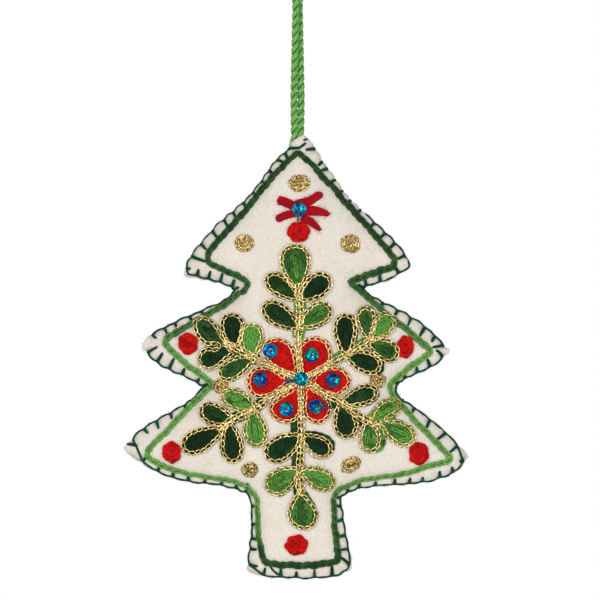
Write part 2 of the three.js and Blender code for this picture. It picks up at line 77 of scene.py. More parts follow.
# Felt body: its thickness, the gap at the seam, and the crown over the filling
FELT = 1.6
SEAM = 0.14
CROWN_HEIGHT = 7.0
CROWN_REACH = 9.0
WIDE_LUMPS = 0.45
SMALL_LUMPS = 0.16
LUMPS_REACH = 6.0
# The mouth at the tip, where the cord goes in
MOUTH_DEPTH = 1.25
MOUTH_HALF_WIDTH = 2.6
MOUTH_LENGTH = 8.0
# The cut edge, thinner than the felt, and how stitches draw it in and press the face down
EDGE_ROUNDING = 1.4
EDGE_SHARE = 0.3
EDGE_DRAWN = 0.55
EDGE_BULGE = 0.2
PULL_WIDTH = 0.95
PULL_DEPTH = 0.9
PULL_REACH = 2.6
BORDER_DRAWN = 0.4
BORDER_REACH = 1.1

# The outline's edges from corner to corner, down from the tip on either side
LEFT_EDGES = [
    [[-3.1, 2.4], [-7.0, 6.0], [-10.4, 10.9], [-16.2, 17.8], [-24.3, 25.0], [-31.5, 34.0],
     [-32.9, 38.8]],
    [[-26.4, 40.3], [-20.8, 41.5], [-18.4, 42.8]],
    [[-21.0, 45.6], [-25.0, 47.4], [-29.9, 49.4], [-39.8, 54.0], [-42.9, 56.0], [-44.8, 59.4]],
    [[-39.9, 64.1], [-31.2, 68.2], [-27.2, 70.5]],
    [[-31.2, 74.3], [-35.8, 77.0], [-45.3, 82.7], [-50.0, 88.1]],
    [[-45.2, 92.2], [-35.6, 96.6], [-19.2, 99.2], [-14.0, 101.3]],
    [[-13.8, 111.2], [-15.1, 122.7]],
    [[-10.7, 124.3], [-4.4, 124.8]],
]
RIGHT_EDGES = [
    [[4.5, 2.4], [6.4, 5.8], [10.8, 11.8], [12.5, 14.8], [15.3, 17.9], [22.9, 24.8], [29.9, 32.3],
     [31.7, 36.2]],
    [[25.2, 40.1], [21.0, 41.3], [17.8, 42.4]],
    [[22.1, 45.4], [28.6, 48.6], [36.9, 54.0], [42.8, 60.2]],
    [[37.9, 64.6], [29.9, 68.3], [26.8, 70.8]],
    [[29.6, 74.2], [33.3, 76.5], [41.7, 83.3], [48.4, 90.5]],
    [[44.4, 94.6], [34.9, 97.7], [16.7, 99.4], [11.7, 101.9]],
    [[13.1, 111.2], [15.3, 122.1]],
    [[11.0, 124.2], [4.7, 124.9]],
]
# The blunt tip's left and right end, on either layer
FRONT_TIPS = ([-1.9, 0.5], [1.2, -1.3])
BACK_TIPS = ([-2.6, -0.4], [1.0, -1.1])

# Places where the front layer falls short and the back one shows: across, down, how far and how wide
PEEPS = [
    [48.4, 90.5, 1.1, 0.3, 3.0], [15.3, 122.1, 0.8, 0.4, 2.5], [-15.1, 122.7, -0.4, 0.6, 3.5],
    [-46.0, 92.0, -0.3, 0.6, 4.0], [-29.0, 40.0, -0.2, 0.7, 5.0],
]
# Corners that the rim thread cuts off: across, down, and its face there, 1 in front and -1 behind
CUT_CORNERS = [
    [-44.8, 59.4, -1], [-50.0, 88.1, 1], [-15.1, 122.7, 1], [48.4, 90.5, 1], [42.8, 60.2, -1],
]
# Blanket stitches, down the left side and up the right: where they hold the rim, and their inner ends
BLANKET = [
    [-3.1, 2.6, -0.2, 2.4], [-3.8, 4.1, -3.2, 6.1], [-6, 6.3, -4, 6.6], [-8.7, 8.8, -7.7, 9.8],
    [-10.5, 12.1, -9.8, 12.7], [-13, 15.5, -12, 15.9],
    [-15.8, 18.1, -15.5, 19.1], [-18.6, 20.9, -18.2, 22.6],
    [-21.1, 23.3, -20.6, 24.7], [-24.3, 26.5, -23.7, 27.7], [-27.9, 29.8, -26.8, 31.1],
    [-30.7, 33.3, -27.2, 34.6], [-31.5, 36.9, -31.2, 36.8], [-29, 38.1, -28.7, 37.2],
    [-25.8, 39.1, -25.4, 37.6], [-22.5, 40.3, -22, 38.3], [-18.9, 41.7, -18.6, 40.1],
    [-17.1, 42.7, -17.4, 42.1], [-19.4, 44.9, -19.1, 45.9], [-23, 47, -22.7, 48.1],
    [-27.9, 48.9, -27.6, 50.1], [-31.3, 50.4, -30.7, 51.5], [-35.4, 52.3, -35.1, 53.3],
    [-38.4, 53.8, -37.8, 55.1], [-41.9, 55.5, -40.9, 56.5], [-43.3, 60.7, -40.7, 59.2],
    [-40.1, 62.8, -39.1, 61], [-36.8, 64.4, -35.9, 62.7], [-33.3, 66.6, -32.8, 65.4],
    [-29.1, 68.8, -28.6, 68.2], [-27.5, 70.2, -26.3, 69.7], [-30.2, 74, -29.6, 74.6],
    [-32.5, 75.9, -32.3, 77.1], [-36.6, 78, -36.4, 79.3], [-40.6, 80.2, -40.2, 82],
    [-43.9, 82.9, -43.2, 83.5], [-47.6, 85.1, -47.2, 85.4], [-44.4, 91.1, -43.1, 90.1],
    [-40.3, 94.2, -39.7, 92.8], [-36.2, 96.1, -35.8, 94.7], [-31.6, 97, -31.6, 95.6],
    [-27, 98, -26.9, 96.4], [-22.3, 98.6, -22.1, 96.9], [-17.8, 98.9, -18, 98.1],
    [-14.8, 99.7, -14.8, 98.1], [-13.5, 104.4, -12.4, 104.3], [-13.4, 109.8, -12.7, 109.4],
    [-13.5, 113.3, -12, 114.1], [-13.8, 116.5, -12.3, 116.7], [-14.3, 120.9, -12.2, 121.4],
    [-10.2, 123.7, -9.8, 122.1], [-5.4, 124.4, -5.3, 122.6], [-0.9, 124.6, -0.9, 123.2],
    [4.2, 124.6, 4.3, 122.6], [9.2, 124.4, 9.3, 121.8], [12.8, 123.4, 12.5, 123.1],
    [14.4, 121.2, 12.4, 119.3], [14, 116.6, 11.6, 116.7], [13.1, 112.6, 11.5, 113], [12.3, 108, 11, 108.7],
    [11.7, 104.4, 10.7, 104.3], [11.6, 101.7, 10.5, 101.9], [13.7, 100, 13.5, 99], [16.9, 99.2, 17.1, 98],
    [21.6, 99.1, 21.7, 97.6], [27, 98.4, 27.2, 96.8], [31.1, 98.1, 31.5, 96.6], [34.9, 97.5, 35.1, 96.2],
    [39.8, 96.1, 39.9, 94.7], [43.5, 94.8, 43.5, 93.5], [47, 91.4, 45.7, 91.7], [44.4, 87.6, 42.9, 88.9],
    [41.1, 84.1, 38.8, 85.6], [36.7, 80.2, 36.3, 81.7], [32.4, 76.9, 32.2, 77.5], [29.2, 74.5, 28.7, 74.6],
    [27.8, 69.1, 27, 69], [29.9, 67.5, 29.8, 66.9], [33.5, 66.6, 33.4, 65.1], [37.1, 64.7, 36.6, 62.9],
    [41.2, 62.2, 39.1, 60.2], [40.6, 59, 38.2, 59.1], [38.4, 56.1, 37.7, 57.5], [35.4, 53.8, 34.4, 55.6],
    [31.6, 50.9, 31, 52.7], [28, 48.7, 27.2, 49.9], [23.9, 46.5, 23.2, 47.5], [20.5, 45.2, 20.2, 45.9],
    [17.5, 42.1, 16.9, 41.4], [18.6, 41.5, 18.8, 40.2], [22.9, 40.6, 22.9, 38.5], [28.3, 38.1, 27.2, 36.2],
    [30, 33, 27.6, 34.1], [27.5, 29.1, 25.9, 30.8], [24.1, 27, 22.9, 28.1], [21.2, 23.9, 20, 25.3],
    [17.2, 20.4, 16.4, 20.8], [14.2, 17.7, 13.8, 18.1], [12.1, 14.8, 11.5, 15.2], [10.4, 11.4, 9, 12],
    [8.5, 8, 6.5, 8.7], [6.1, 6.5, 5.5, 7.3], [4.4, 2.7, 2.2, 2.9],
]
# Threads that cross the face by themselves: from, to and thickness
LOOSE_THREADS = [
    [[-48.9, 86.7], [-46.2, 87.2], 0.45], [[-8.4, 121.6], [-5.9, 124.0], 0.3],
    [[-0.3, 2.7], [1.8, 1.0], 0.36], [[1.1, 0.3], [2.2, -0.1], 0.28],
]

# Green shades run from 0, dark, to 1, light.
# Border line: across, down, shade and width
BORDER = [
    [-0.3, 3.2, 0.17, 1.6], [-8.1, 11.1, 0.18, 1.9], [-16.0, 20.9, 0.22, 1.8], [-26.3, 32.4, 0.24, 1.8],
    [-26.1, 35.2, 0.25, 1.8], [-16.6, 39.4, 0.42, 1.7], [-14.6, 40.6, 0.43, 1.7], [-15.2, 42.3, 0.45, 1.6],
    [-20.5, 46.6, 0.55, 1.7], [-29.3, 51.5, 0.52, 1.8], [-37.9, 56.5, 0.62, 1.9], [-38.5, 58.3, 0.75, 1.9],
    [-33.8, 62.7, 0.96, 1.8], [-24.6, 69.5, 0.88, 1.7], [-33.9, 78.7, 0.92, 1.7], [-43.7, 88.8, 0.96, 1.7],
    [-43.1, 90.7, 0.93, 1.7], [-38.3, 93.3, 0.95, 1.5], [-31.8, 95.3, 0.95, 1.3], [-18.0, 97.4, 0.95, 1.3],
    [-14.4, 99.2, 0.9, 1.5], [-12.1, 101.9, 0.9, 1.4], [-11.8, 112.0, 0.66, 1.5], [-10.6, 119.2, 0.26, 1.9],
    [-9.4, 120.7, 0.17, 2.0], [0.1, 121.4, 0.24, 2.1], [10.4, 120.4, 0.2, 2.1], [11.2, 119.2, 0.23, 2.0],
    [10.2, 111.2, 0.34, 1.8], [9.6, 101.9, 0.58, 1.5], [11.2, 99.6, 0.75, 1.4], [17.2, 97.0, 0.9, 1.3],
    [28.7, 95.5, 0.88, 1.4], [38.5, 92.6, 0.95, 1.6], [42.6, 91.5, 0.96, 1.7], [43.3, 90.6, 0.96, 1.7],
    [33.1, 80.2, 0.86, 1.7],
    [26.2, 72.2, 0.95, 1.4], [25.7, 69.6, 0.92, 1.6], [31.0, 65.0, 0.88, 1.7], [37.3, 60.9, 0.95, 1.8],
    [37.1, 59.5, 0.9, 1.9], [27.0, 51.3, 0.52, 1.9], [20.0, 45.6, 0.54, 1.6], [14.3, 40.6, 0.4, 1.8],
    [20.7, 38.2, 0.38, 2.1], [26.7, 36.6, 0.28, 2.0], [27.3, 34.0, 0.24, 1.9], [19.1, 24.6, 0.18, 1.8],
    [9.9, 14.2, 0.2, 1.8],
]

# Sprigs: the stem from the petals out, its shade, how far its wool lies beside the gold at either end,
# and leaves as root, tip, width and shade, with how far the wool lies off the middle of the gold and
# its own width where they differ. A leaf of no width has no gold of its own.
FLOWER_CENTRE = [0.4, 68.2]
SPRIGS = {
    "top": ([[-0.5, 56.2], [-0.1, 53.7], [0, 45.7], [-0.3, 40.9]], 0.95, [0, 0], [
        [[-0.6, 42.0], [-1.5, 30.4], 7.2, 0.52, [0, 0], 6.4],
        [[-0.7, 45.4], [-8.9, 39.0], 4.8, 0.2],
        [[-0.4, 53.7], [-9.7, 47.3], 5.4, 0.15],
        [[0.1, 45.4], [8.1, 39.3], 5.6, 0.1, [-0.3, 0]],
        [[0.1, 53.1], [8.3, 47.6], 5.3, 0.63, [0.2, 0.2]],
    ]),
    "upper_left": ([[-12.0, 62.8], [-16.9, 59.9], [-21.5, 57.7]], 0.35, [0, 0], [
        [[-20.0, 59.6], [-29.0, 52.4], 0, 0.3, [0, 0], 5.0],
        [[-18.6, 59.1], [-19.2, 50.2], 5.6, 0.07],
        [[-13.7, 61.9], [-13.5, 52.8], 5.7, 1.0],
        [[-18.2, 60.0], [-28.0, 62.6], 0, 0.12, [0, 0], 5.0],
        [[-13.1, 62.0], [-22.2, 67.3], 4.8, 0.35],
    ]),
    "upper_right": ([[9.4, 63.5], [13.2, 61.4], [16.9, 59.1], [21.2, 56.5]], 0.85, [-0.6, 0], [
        [[13.2, 61.3], [12.7, 50.1], 5.4, 0.1, [0.3, 0]],
        [[19.8, 57.4], [18.0, 48.2], 4.5, 0.5, [0.6, -0.3]],
        [[20.4, 56.8], [25.9, 50.6], 4.8, 1.0, [-0.5, 0]],
        [[19.3, 57.4], [27.5, 61.5], 5.0, 0.45, [0.2, 0.1]],
        [[13.3, 61.4], [22.5, 64.7], 5.2, 0.12, [0.8, 0.1]],
    ]),
    "lower_left": (
        [[-9.8, 74.5], [-12.1, 76.2], [-16.1, 78.4], [-19.5, 80.1], [-22.9, 83.0]], 0.3, [0.2, 0.2], [
            [[-12.4, 76.4], [-21.5, 72.4], 4.8, 0.95, [0.2, 0.1]],
            [[-18.8, 80.4], [-27.6, 76.9], 5.1, 0.2],
            [[-22.1, 82.5], [-32.7, 87.7], 5.2, 0.07],
            [[-20.1, 80.6], [-18.5, 91.2], 5.1, 0.12, [-0.1, 0]],
            [[-13.2, 76.8], [-12.0, 86.9], 5.5, 0.9, [-0.2, 0]],
        ]),
    "lower_right": (
        [[7.2, 72.3], [11.5, 74.4], [15.5, 77.6], [18.9, 79.9], [22.9, 81.3]], 0.25, [1.2, 0.6], [
            [[11.9, 75.0], [21.4, 71.4], 4.7, 0.22, [0.5, 0.1]],
            [[12.0, 74.6], [13.7, 84.4], 5.7, 0.1, [0.2, 0.1]],
            [[19.6, 79.9], [20.0, 88.5], 5.0, 0.75, [1.2, 0.1], 5.4],
            [[19.2, 80.0], [27.5, 75.6], 0, 0.88, [0, 0], 4.4],
            [[21.8, 80.2], [32.0, 85.0], 0, 0.85, [0, 0], 5.4],
        ]),
    "bottom": ([[0.4, 78.6], [0.4, 85.6], [0, 94.1], [0.3, 100.9]], 0.25, [1.5, 0.3], [
        [[0.5, 100.0], [1.0, 110.4], 0, 0.5, [0.1, 0], 6.4],
        [[0.1, 84.4], [-9.0, 90.1], 5.9, 0.15, [0.1, 0.1]],
        [[-0.3, 93.8], [-8.7, 99.3], 5.9, 0.8],
        [[0.7, 84.6], [8.6, 89.1], 5.2, 0.17, [0.6, -0.7]],
        [[0.4, 94.0], [9.3, 98.0], 5.1, 0.95],
    ]),
}
# Gold lines of leaves that have none of their own
GOLD_RUNS = {
    "upper_left": [
        [-19.4, 60.3], [-20.6, 58.2], [-21.9, 56.3], [-23.3, 54.0], [-25.1, 51.9], [-27.3, 51.3],
        [-29.2, 52.2], [-29.5, 54.4], [-28.3, 56.4], [-26.5, 58.0], [-24.4, 58.2], [-22.9, 58.2],
        [-22.8, 59.1], [-24.1, 59.9], [-25.9, 59.7], [-27.6, 60.6], [-28.3, 62.7], [-27.3, 64.5],
        [-25.3, 65.2], [-23.3, 64.2], [-21.3, 62.7], [-18.8, 60.8],
    ],
    "lower_right": [
        [19.9, 79.2], [20.9, 77.6], [22.3, 75.5], [24.3, 74.4], [26.7, 74.4], [27.9, 75.8], [27.5, 77.5],
        [26.0, 78.6], [24.1, 79.5], [25.7, 80.3], [28.4, 80.7], [31.1, 82.1], [32.5, 83.9], [32.0, 86.0],
        [30.1, 87.0], [27.7, 86.3], [25.3, 84.4], [23.6, 82.2], [21.9, 80.2],
    ],
    "bottom": [
        [-0.9, 98.0], [0.1, 100.1], [1.6, 101.7], [3.1, 103.7], [4.2, 105.8], [4.5, 107.6], [3.6, 109.5],
        [1.8, 110.5], [-0.1, 110.2], [-1.8, 109.0], [-2.9, 107.2], [-2.7, 105.4], [-1.9, 103.5],
        [-0.8, 101.4], [0.5, 99.4], [1.2, 98.0],
    ],
}
# Petals: the middle and the outline of each
PETALS = {
    "upper_left": ([-4.6, 62.4], [
        [-1.2, 66.2], [-3.8, 66.5], [-6.3, 65.0], [-8.6, 63.2], [-9.8, 61.5], [-9.9, 59.9], [-9.2, 57.9],
        [-7.1, 57.0], [-4.9, 57.2], [-2.6, 58.9], [-1.5, 61.2], [-1.1, 63.8],
    ]),
    "upper_right": ([3.6, 62.2], [
        [1.5, 67.2], [0.3, 66.0], [0.0, 63.6], [-0.2, 61.0], [0.1, 58.9], [1.5, 57.5], [3.7, 56.8],
        [6.4, 57.2], [8.2, 59.0], [8.7, 61.3], [8.2, 63.3], [7.0, 64.6], [4.8, 66.0], [2.9, 67.1],
    ]),
    "left": ([-8.6, 68.9], [
        [-3.4, 68.9], [-5.2, 70.4], [-7.3, 71.9], [-9.6, 72.9], [-12.0, 72.9], [-13.7, 71.4], [-14.3, 69.4],
        [-13.9, 67.0], [-12.6, 65.5], [-10.2, 65.0], [-7.6, 65.5], [-5.2, 67.2],
    ]),
    "right": ([8.4, 68.9], [
        [3.5, 68.8], [5.2, 66.8], [7.2, 65.5], [9.6, 65.0], [12.0, 65.6], [13.6, 67.3], [13.9, 69.1],
        [13.0, 70.8], [11.1, 72.2], [8.9, 72.6], [7.0, 71.8], [5.0, 70.4],
    ]),
    "lower_left": ([-3.0, 75.4], [
        [-0.4, 70.8], [0.0, 73.4], [0.1, 76.2], [-0.4, 78.4], [-2.2, 79.9], [-4.6, 80.0], [-6.8, 78.9],
        [-8.0, 77.1], [-7.7, 75.4], [-5.8, 73.8], [-3.6, 72.3], [-1.5, 70.9],
    ]),
    "lower_right": ([4.4, 75.4], [
        [1.7, 70.9], [2.7, 70.6], [4.7, 71.7], [6.8, 73.0], [8.2, 74.5], [8.7, 76.8], [7.7, 78.9],
        [5.8, 80.2], [3.7, 80.0], [1.9, 78.5], [1.4, 76.2], [1.5, 73.5],
    ]),
}
# Sequins: place, share of green in the film, and where the tie threads go down beside them.
SEQUINS = {
    "upper_left": ([-8.1, 60.2], 0.2, [[2.2, 0.1], [0.1, 2.4]]),
    "upper_right": ([3.3, 61.4], 0.7, [[-2.3, -0.8], [2.2, -0.2]]),
    "left": ([-11.0, 68.2], 0.15, [[0.9, 2.2], [1.2, -1.7]]),
    "right": ([9.5, 68.5], 0.2, [[0.6, 2.2], [1.6, -1.5]]),
    "lower_left": ([-3.7, 76.7], 0.1, [[-2.2, -0.4], [2.1, 0.2]]),
    "lower_right": ([4.6, 75.9], 0.25, [[4.0, 0.3], [3.9, -0.9], [-1.5, 1.0]]),
    "star": ([-0.1, 20.1], 0.5, [[0.1, -2.2], [-0.6, 3.3], [-0.3, 2.9]]),
    "centre": (FLOWER_CENTRE, 0.4, [[-4.6, 0.3], [-4.5, 0.6], [-4.4, 0.9], [-4.2, 1.2], [0.4, 1.9]]),
}
# Dots: place, half their width and height, and a turn where they are not upright.
RED_DOTS = {
    "under_star": [[-0.3, 26.3], 3.1, 3.1],
    "middle_left": [[-31.7, 58.2], 2.8, 3.1],
    "middle_right": [[30.0, 59.1], 2.4, 3.3],
    "lower_left": [[-36.3, 89.0], 2.7, 3.1],
    "lower_right": [[33.8, 89.3], 2.9, 3.2],
    "trunk": [[-0.9, 115.2], 3.2, 3.0],
}
GOLD_DOTS = {
    "top": [[0, 12.6], 3.1, 2.6],
    "top_left": [[-15.6, 29.6], 2.7, 2.7],
    "top_right": [[14.4, 29.8], 2.8, 2.8],
    "middle_left": [[-22.4, 70.1], 2.3, 2.2],
    "middle_right": [[22.1, 68.5], 2.3, 2.3],
    "bottom_left": [[-14.1, 93.8], 2.4, 2.3],
    "bottom_right": [[14.5, 92.4], 3.1, 2.2, -0.5],
}
# Star arms: from near the centre to the tip, half their width, how blunt the tip is, and how far
# they arch up.
STAR_ARMS = [
    [[-0.4, 19.9], [-6.5, 17.1], 1.05, 0.9, 0.35],
    [[-0.6, 21.1], [-6.8, 23.0], 0.9, 0.8, 0.45],
    [[0.4, 19.4], [6.6, 15.2], 0.95, 0.85, 0.1],
    [[0.6, 20.6], [8.9, 21.4], 1.15, 0.4, 0.5],
    [[0.7, 22.2], [6.1, 26.0], 0.9, 0.35, 0.4],
    [[-1.6, 18.8], [3.0, 17.2], 0.9, 0.7, 0],
]
# The cord's route, from the middle of its strands: across, back, and up from the tip.
CORD_ROUTE = [
    [-1.25, 0, 0], [-1.25, 0, 4], [-1.15, -0.45, 12], [-0.95, -0.8, 22], [-0.75, -0.98, 32],
    [-0.75, -0.98, 40], [-2.2, -0.8, 45.5], [-4.6, -0.4, 50.5], [-6, 0, 56], [-5.2, 0, 60],
    [-3, 0, 62.4], [0, 0, 63.2], [3, 0, 62.4], [5.2, 0, 60], [6, 0, 56], [4.6, 0.4, 50.5],
    [2.2, 0.8, 45.5], [0.75, 0.98, 40], [0.75, 0.98, 32], [0.95, 0.8, 22], [1.15, 0.45, 12],
    [1.25, 0, 4], [1.25, 0, 0],
]
CORD_DIAMETER = 2.1
CORD_LEAD = 5.0
STRAND_LEAD = -3.2
# Below the loop the two strands lie against each other, each this much nearer the middle, and
# at the foot one lies in front of the other.
STRANDS_DRAWN = 0.15
FOOT_DRAWN = 0.3
FOOT_TURN = 0.35
FOOT_HEIGHT = 12.0
LOOP_FOOT = 46.0
TAIL_LENGTH = 8.0


# Curves
SPLINE_STEPS = 16


def arc_lengths(line):
    """How far along a line each of its points is."""
    return np.concatenate([[0], np.cumsum(np.linalg.norm(np.diff(line, axis=0), axis=1))])


def unit(vectors):
    """The same directions, of length 1."""
    return vectors / np.maximum(np.linalg.norm(vectors, axis=-1, keepdims=True), 1e-9)


def full_turn(count):
    """Angles spread evenly all the way round."""
    return np.linspace(0, 2 * math.pi, count, endpoint=False)


def read_off(at, arc, line):
    """A line's values at distances along it."""
    return np.stack([np.interp(at, arc, column) for column in line.T], -1)


def resampled(line, step, closed=False):
    """The same line with points a step apart, its corners kept only as near as that."""
    line = np.asarray(line, float)
    if closed:
        line = np.vstack([line, line[:1]])
    arc = arc_lengths(line)
    count = max(2, int(round(arc[-1] / step)))
    points = read_off(np.linspace(0, arc[-1], count + 1), arc, line)
    return points[:-1] if closed else points


def spline(points, step, closed=False):
    """A smooth line through the points, a centripetal Catmull-Rom curve."""
    knots = np.asarray(points, float)
    if closed:
        knots = np.vstack([knots[-1:], knots, knots[:2]])
    else:
        knots = np.vstack([2 * knots[0] - knots[1], knots, 2 * knots[-1] - knots[-2]])
    t = np.linspace(0, 1, SPLINE_STEPS, endpoint=False)[:, None]
    parts = []
    for before, start, end, after in zip(knots, knots[1:], knots[2:], knots[3:]):
        d0, d1, d2 = (max(np.linalg.norm(b - a), 1e-6) ** 0.5
                      for a, b in ((before, start), (start, end), (end, after)))
        leave = ((start - before) / d0 - (end - before) / (d0 + d1) + (end - start) / d1) * d1
        arrive = ((end - start) / d1 - (after - start) / (d1 + d2) + (after - end) / d2) * d1
        parts.append(start + leave * t + (3 * (end - start) - 2 * leave - arrive) * t ** 2
                     + (2 * (start - end) + leave + arrive) * t ** 3)
    line = np.vstack(parts + ([] if closed else [knots[-2:-1]]))
    return resampled(line, step, closed)


def right_of(line, closed=False):
    """Unit directions to the right of a flat line."""
    if closed:
        along = np.roll(line, -1, 0) - np.roll(line, 1, 0)
    else:
        along = np.gradient(line, axis=0)
    along = unit(along)
    return np.column_stack([-along[:, 1], along[:, 0]])


def worn(loop):
    """A closed line with its corners worn down a little."""
    return (np.roll(loop, 1, 0) + 2 * loop + np.roll(loop, -1, 0)) / 4


def signed_area(loop):
    """The area inside a flat loop, below 0 where it runs the other way round."""
    x, d = loop.T
    return (x * np.roll(d, -1) - np.roll(x, -1) * d).sum() / 2


def noise_over(points, fineness, seed):
    """Smooth noise over places on the tree."""
    return np.array([noise.noise(Vector((x * fineness, d * fineness, seed))) for x, d in points])


# The outline of a felt layer
BLOCK = 3000


def in_blocks(find, points):
    """What a function finds for many points, a block of them at a time to save memory."""
    return np.concatenate([find(points[i:i + BLOCK]) for i in range(0, len(points), BLOCK)], -1)


def nearest(points, loop):
    """Distance from each point to the loop, and how far round the loop the nearest place is."""
    edge = np.roll(loop, -1, 0) - loop
    length = np.linalg.norm(edge, axis=1)
    start = np.concatenate([[0], np.cumsum(length)[:-1]])

    def find(block):
        off = block[:, None] - loop
        share = np.clip((off * edge).sum(2) / np.maximum(length ** 2, 1e-12), 0, 1)
        away = np.linalg.norm(off - share[..., None] * edge, axis=2)
        k = away.argmin(1)
        rows = np.arange(len(k))
        return np.stack([away[rows, k], start[k] + share[rows, k] * length[k]])

    return in_blocks(find, points)


def inside(points, loop):
    """Which points lie inside the loop."""
    x1, y1 = loop.T
    x2, y2 = np.roll(loop, -1, 0).T
    slope = (x2 - x1) / np.where(y2 == y1, 1e-9, y2 - y1)

    def find(block):
        x, y = block[:, :1], block[:, 1:]
        crosses = (y1 > y) != (y2 > y)
        return (crosses & (x < slope * (y - y1) + x1)).sum(1) % 2 == 1

    return in_blocks(find, points)


def inset(loop, distance):
    """The loop moved inwards."""
    inward = right_of(loop, True)
    nudge = 0.05
    if inside(loop + inward * nudge, loop).mean() < 0.5:
        inward = -inward
    return loop + inward * np.broadcast_to(distance, len(loop))[:, None]


def along_loop(loop, arc):
    """Places and inward directions at distances round a loop."""
    closed = np.vstack([loop, loop[:1]])
    inward = inset(loop, 1.0) - loop
    inward = np.vstack([inward, inward[:1]])
    at = arc_lengths(closed)
    return read_off(arc, at, closed), unit(read_off(arc, at, inward))


def outline(tips, short=0.0, step=0.5, rounding=2):
    """The silhouette from the tip's left end down the left side and up the right one."""
    halves = []
    for tip, edges in zip(tips, (LEFT_EDGES, RIGHT_EDGES)):
        line, corner = [], tip
        for edge in edges:
            line.append(spline([corner] + edge, step))
            corner = edge[-1]
        halves.append(np.vstack(line))
    loop = resampled(np.vstack([halves[0], halves[1][::-1]]), step, True)
    for _ in range(rounding):
        loop = worn(loop)
    for across, down, right, below, reach in PEEPS:
        near = np.exp(-((loop - [across, down]) ** 2).sum(1) / reach ** 2)
        loop = loop - short * near[:, None] * [right, below]
    return loop


FRONT_LOOP = outline(FRONT_TIPS, 1.0)
BACK_LOOP = outline(BACK_TIPS)
COARSE_LOOP = outline(BACK_TIPS, 0.0, 3.0, 1)
BORDER_LINE = worn(resampled(BORDER, 0.6, True))

BLANKET = np.array(BLANKET)
STITCH_ARCS = nearest(BLANKET[:, :2], FRONT_LOOP)[1]
BLANKET, STITCH_ARCS = BLANKET[STITCH_ARCS.argsort()], np.sort(STITCH_ARCS)
CORNER_ARCS = nearest(np.array(CUT_CORNERS)[:, :2], FRONT_LOOP)[1]


def pull(points):
    """How hard the nearest blanket stitch draws in the felt, from 0 to 1."""
    arc = nearest(points, FRONT_LOOP)[1]
    return np.exp(-((arc[:, None] - STITCH_ARCS) / PULL_WIDTH) ** 2).sum(1).clip(0, 1)


def felt_rim(loop):
    """The cut edge of a layer, which bulges between the stitches."""
    return inset(loop, EDGE_DRAWN * pull(loop) - EDGE_BULGE)


FRONT_RIM = felt_rim(FRONT_LOOP)
BACK_RIM = felt_rim(BACK_LOOP)


# How far the felt stands out from the seam
def rim_distance(points):
    """Distance from the rim, rounded off along ridges, where the nearest edge changes."""
    ends = np.roll(COARSE_LOOP, -1, 0)
    along = unit(ends - COARSE_LOOP)

    def find(block):
        a, b = COARSE_LOOP - block[:, None], ends - block[:, None]
        first, last = (a * along).sum(2), (b * along).sum(2)
        square = np.maximum((a[..., 0] * along[:, 1] - a[..., 1] * along[:, 0]) ** 2, 1e-6)
        share = last / np.sqrt(square + last ** 2) - first / np.sqrt(square + first ** 2)
        return (share / square).sum(1)

    return np.sqrt(2 / np.maximum(in_blocks(find, points), 1e-9))


def inner_depth(points):
    """Half the space between the felt layers."""
    crown = CROWN_HEIGHT * (1 - np.exp(-rim_distance(points) / CROWN_REACH))
    x, down = points.T
    beside, below = (x - CORD_ACROSS) / MOUTH_HALF_WIDTH, np.maximum(down, 0) / MOUTH_LENGTH
    mouth = MOUTH_DEPTH * np.exp(-beside ** 4 - below ** 2)
    return SEAM / 2 + np.hypot(crown, mouth)


def lumps(points, seed):
    """Soft unevenness of the filling under the felt."""
    return noise_over(points, 0.07, seed) * WIDE_LUMPS + noise_over(points, 0.19, seed + 5) * SMALL_LUMPS


def outer_depth(points, rim, seed):
    """The felt's face: rounded at its cut edge, drawn in by the stitches and under the border."""
    away = np.where(inside(points, rim), nearest(points, rim)[0], 0)
    edge = np.clip(away / EDGE_ROUNDING, 0, 1)
    thick = FELT * (EDGE_SHARE + (1 - EDGE_SHARE) * np.sqrt(1 - (1 - edge) ** 2))
    drawn = PULL_DEPTH * pull(points) * np.exp(-(away / PULL_REACH) ** 4)
    if rim is FRONT_RIM:
        beside = nearest(points, BORDER_LINE[:, :2])[0]
        drawn += BORDER_DRAWN * np.exp(-(beside / BORDER_REACH) ** 2)
    settle = np.clip(away / LUMPS_REACH, 0, 1)
    return inner_depth(points) + thick - drawn + lumps(points, seed) * settle


# The embroidered face as a height map, for setting stitches on it
MAP_STEP = 0.5
MAP_MARGIN = 3.0
MAP_X = np.arange(-56, 56.1, MAP_STEP)
MAP_D = np.arange(-4, 130.1, MAP_STEP)
SLOPE_REACH = 0.8
FRONT_SEED = 1.0
BACK_SEED = 2.0
cells = np.stack(np.meshgrid(MAP_X, MAP_D), -1).reshape(-1, 2)
on_tree = inside(cells, inset(COARSE_LOOP, -MAP_MARGIN))
SKIN = np.zeros(len(cells))
SKIN[on_tree] = outer_depth(cells[on_tree], FRONT_RIM, FRONT_SEED)
SKIN = SKIN.reshape(len(MAP_D), len(MAP_X))


def skin_depth(x, d):
    """Depth of the embroidered face at places on the tree."""
    u = np.clip((x - MAP_X[0]) / MAP_STEP, 0, len(MAP_X) - 1.001)
    v = np.clip((d - MAP_D[0]) / MAP_STEP, 0, len(MAP_D) - 1.001)
    i, j = u.astype(int), v.astype(int)
    u, v = u - i, v - j
    return ((SKIN[j, i] * (1 - u) + SKIN[j, i + 1] * u) * (1 - v)
            + (SKIN[j + 1, i] * (1 - u) + SKIN[j + 1, i + 1] * u) * v)


def out_of_skin(xy):
    """Directions straight out of the embroidered face."""
    x, d = xy[..., 0], xy[..., 1]
    h = SLOPE_REACH
    dx = (skin_depth(x + h, d) - skin_depth(x - h, d)) / (2 * h)
    dd = (skin_depth(x, d + h) - skin_depth(x, d - h)) / (2 * h)
    return unit(np.stack([-dx, -np.ones_like(dx), dd], -1))


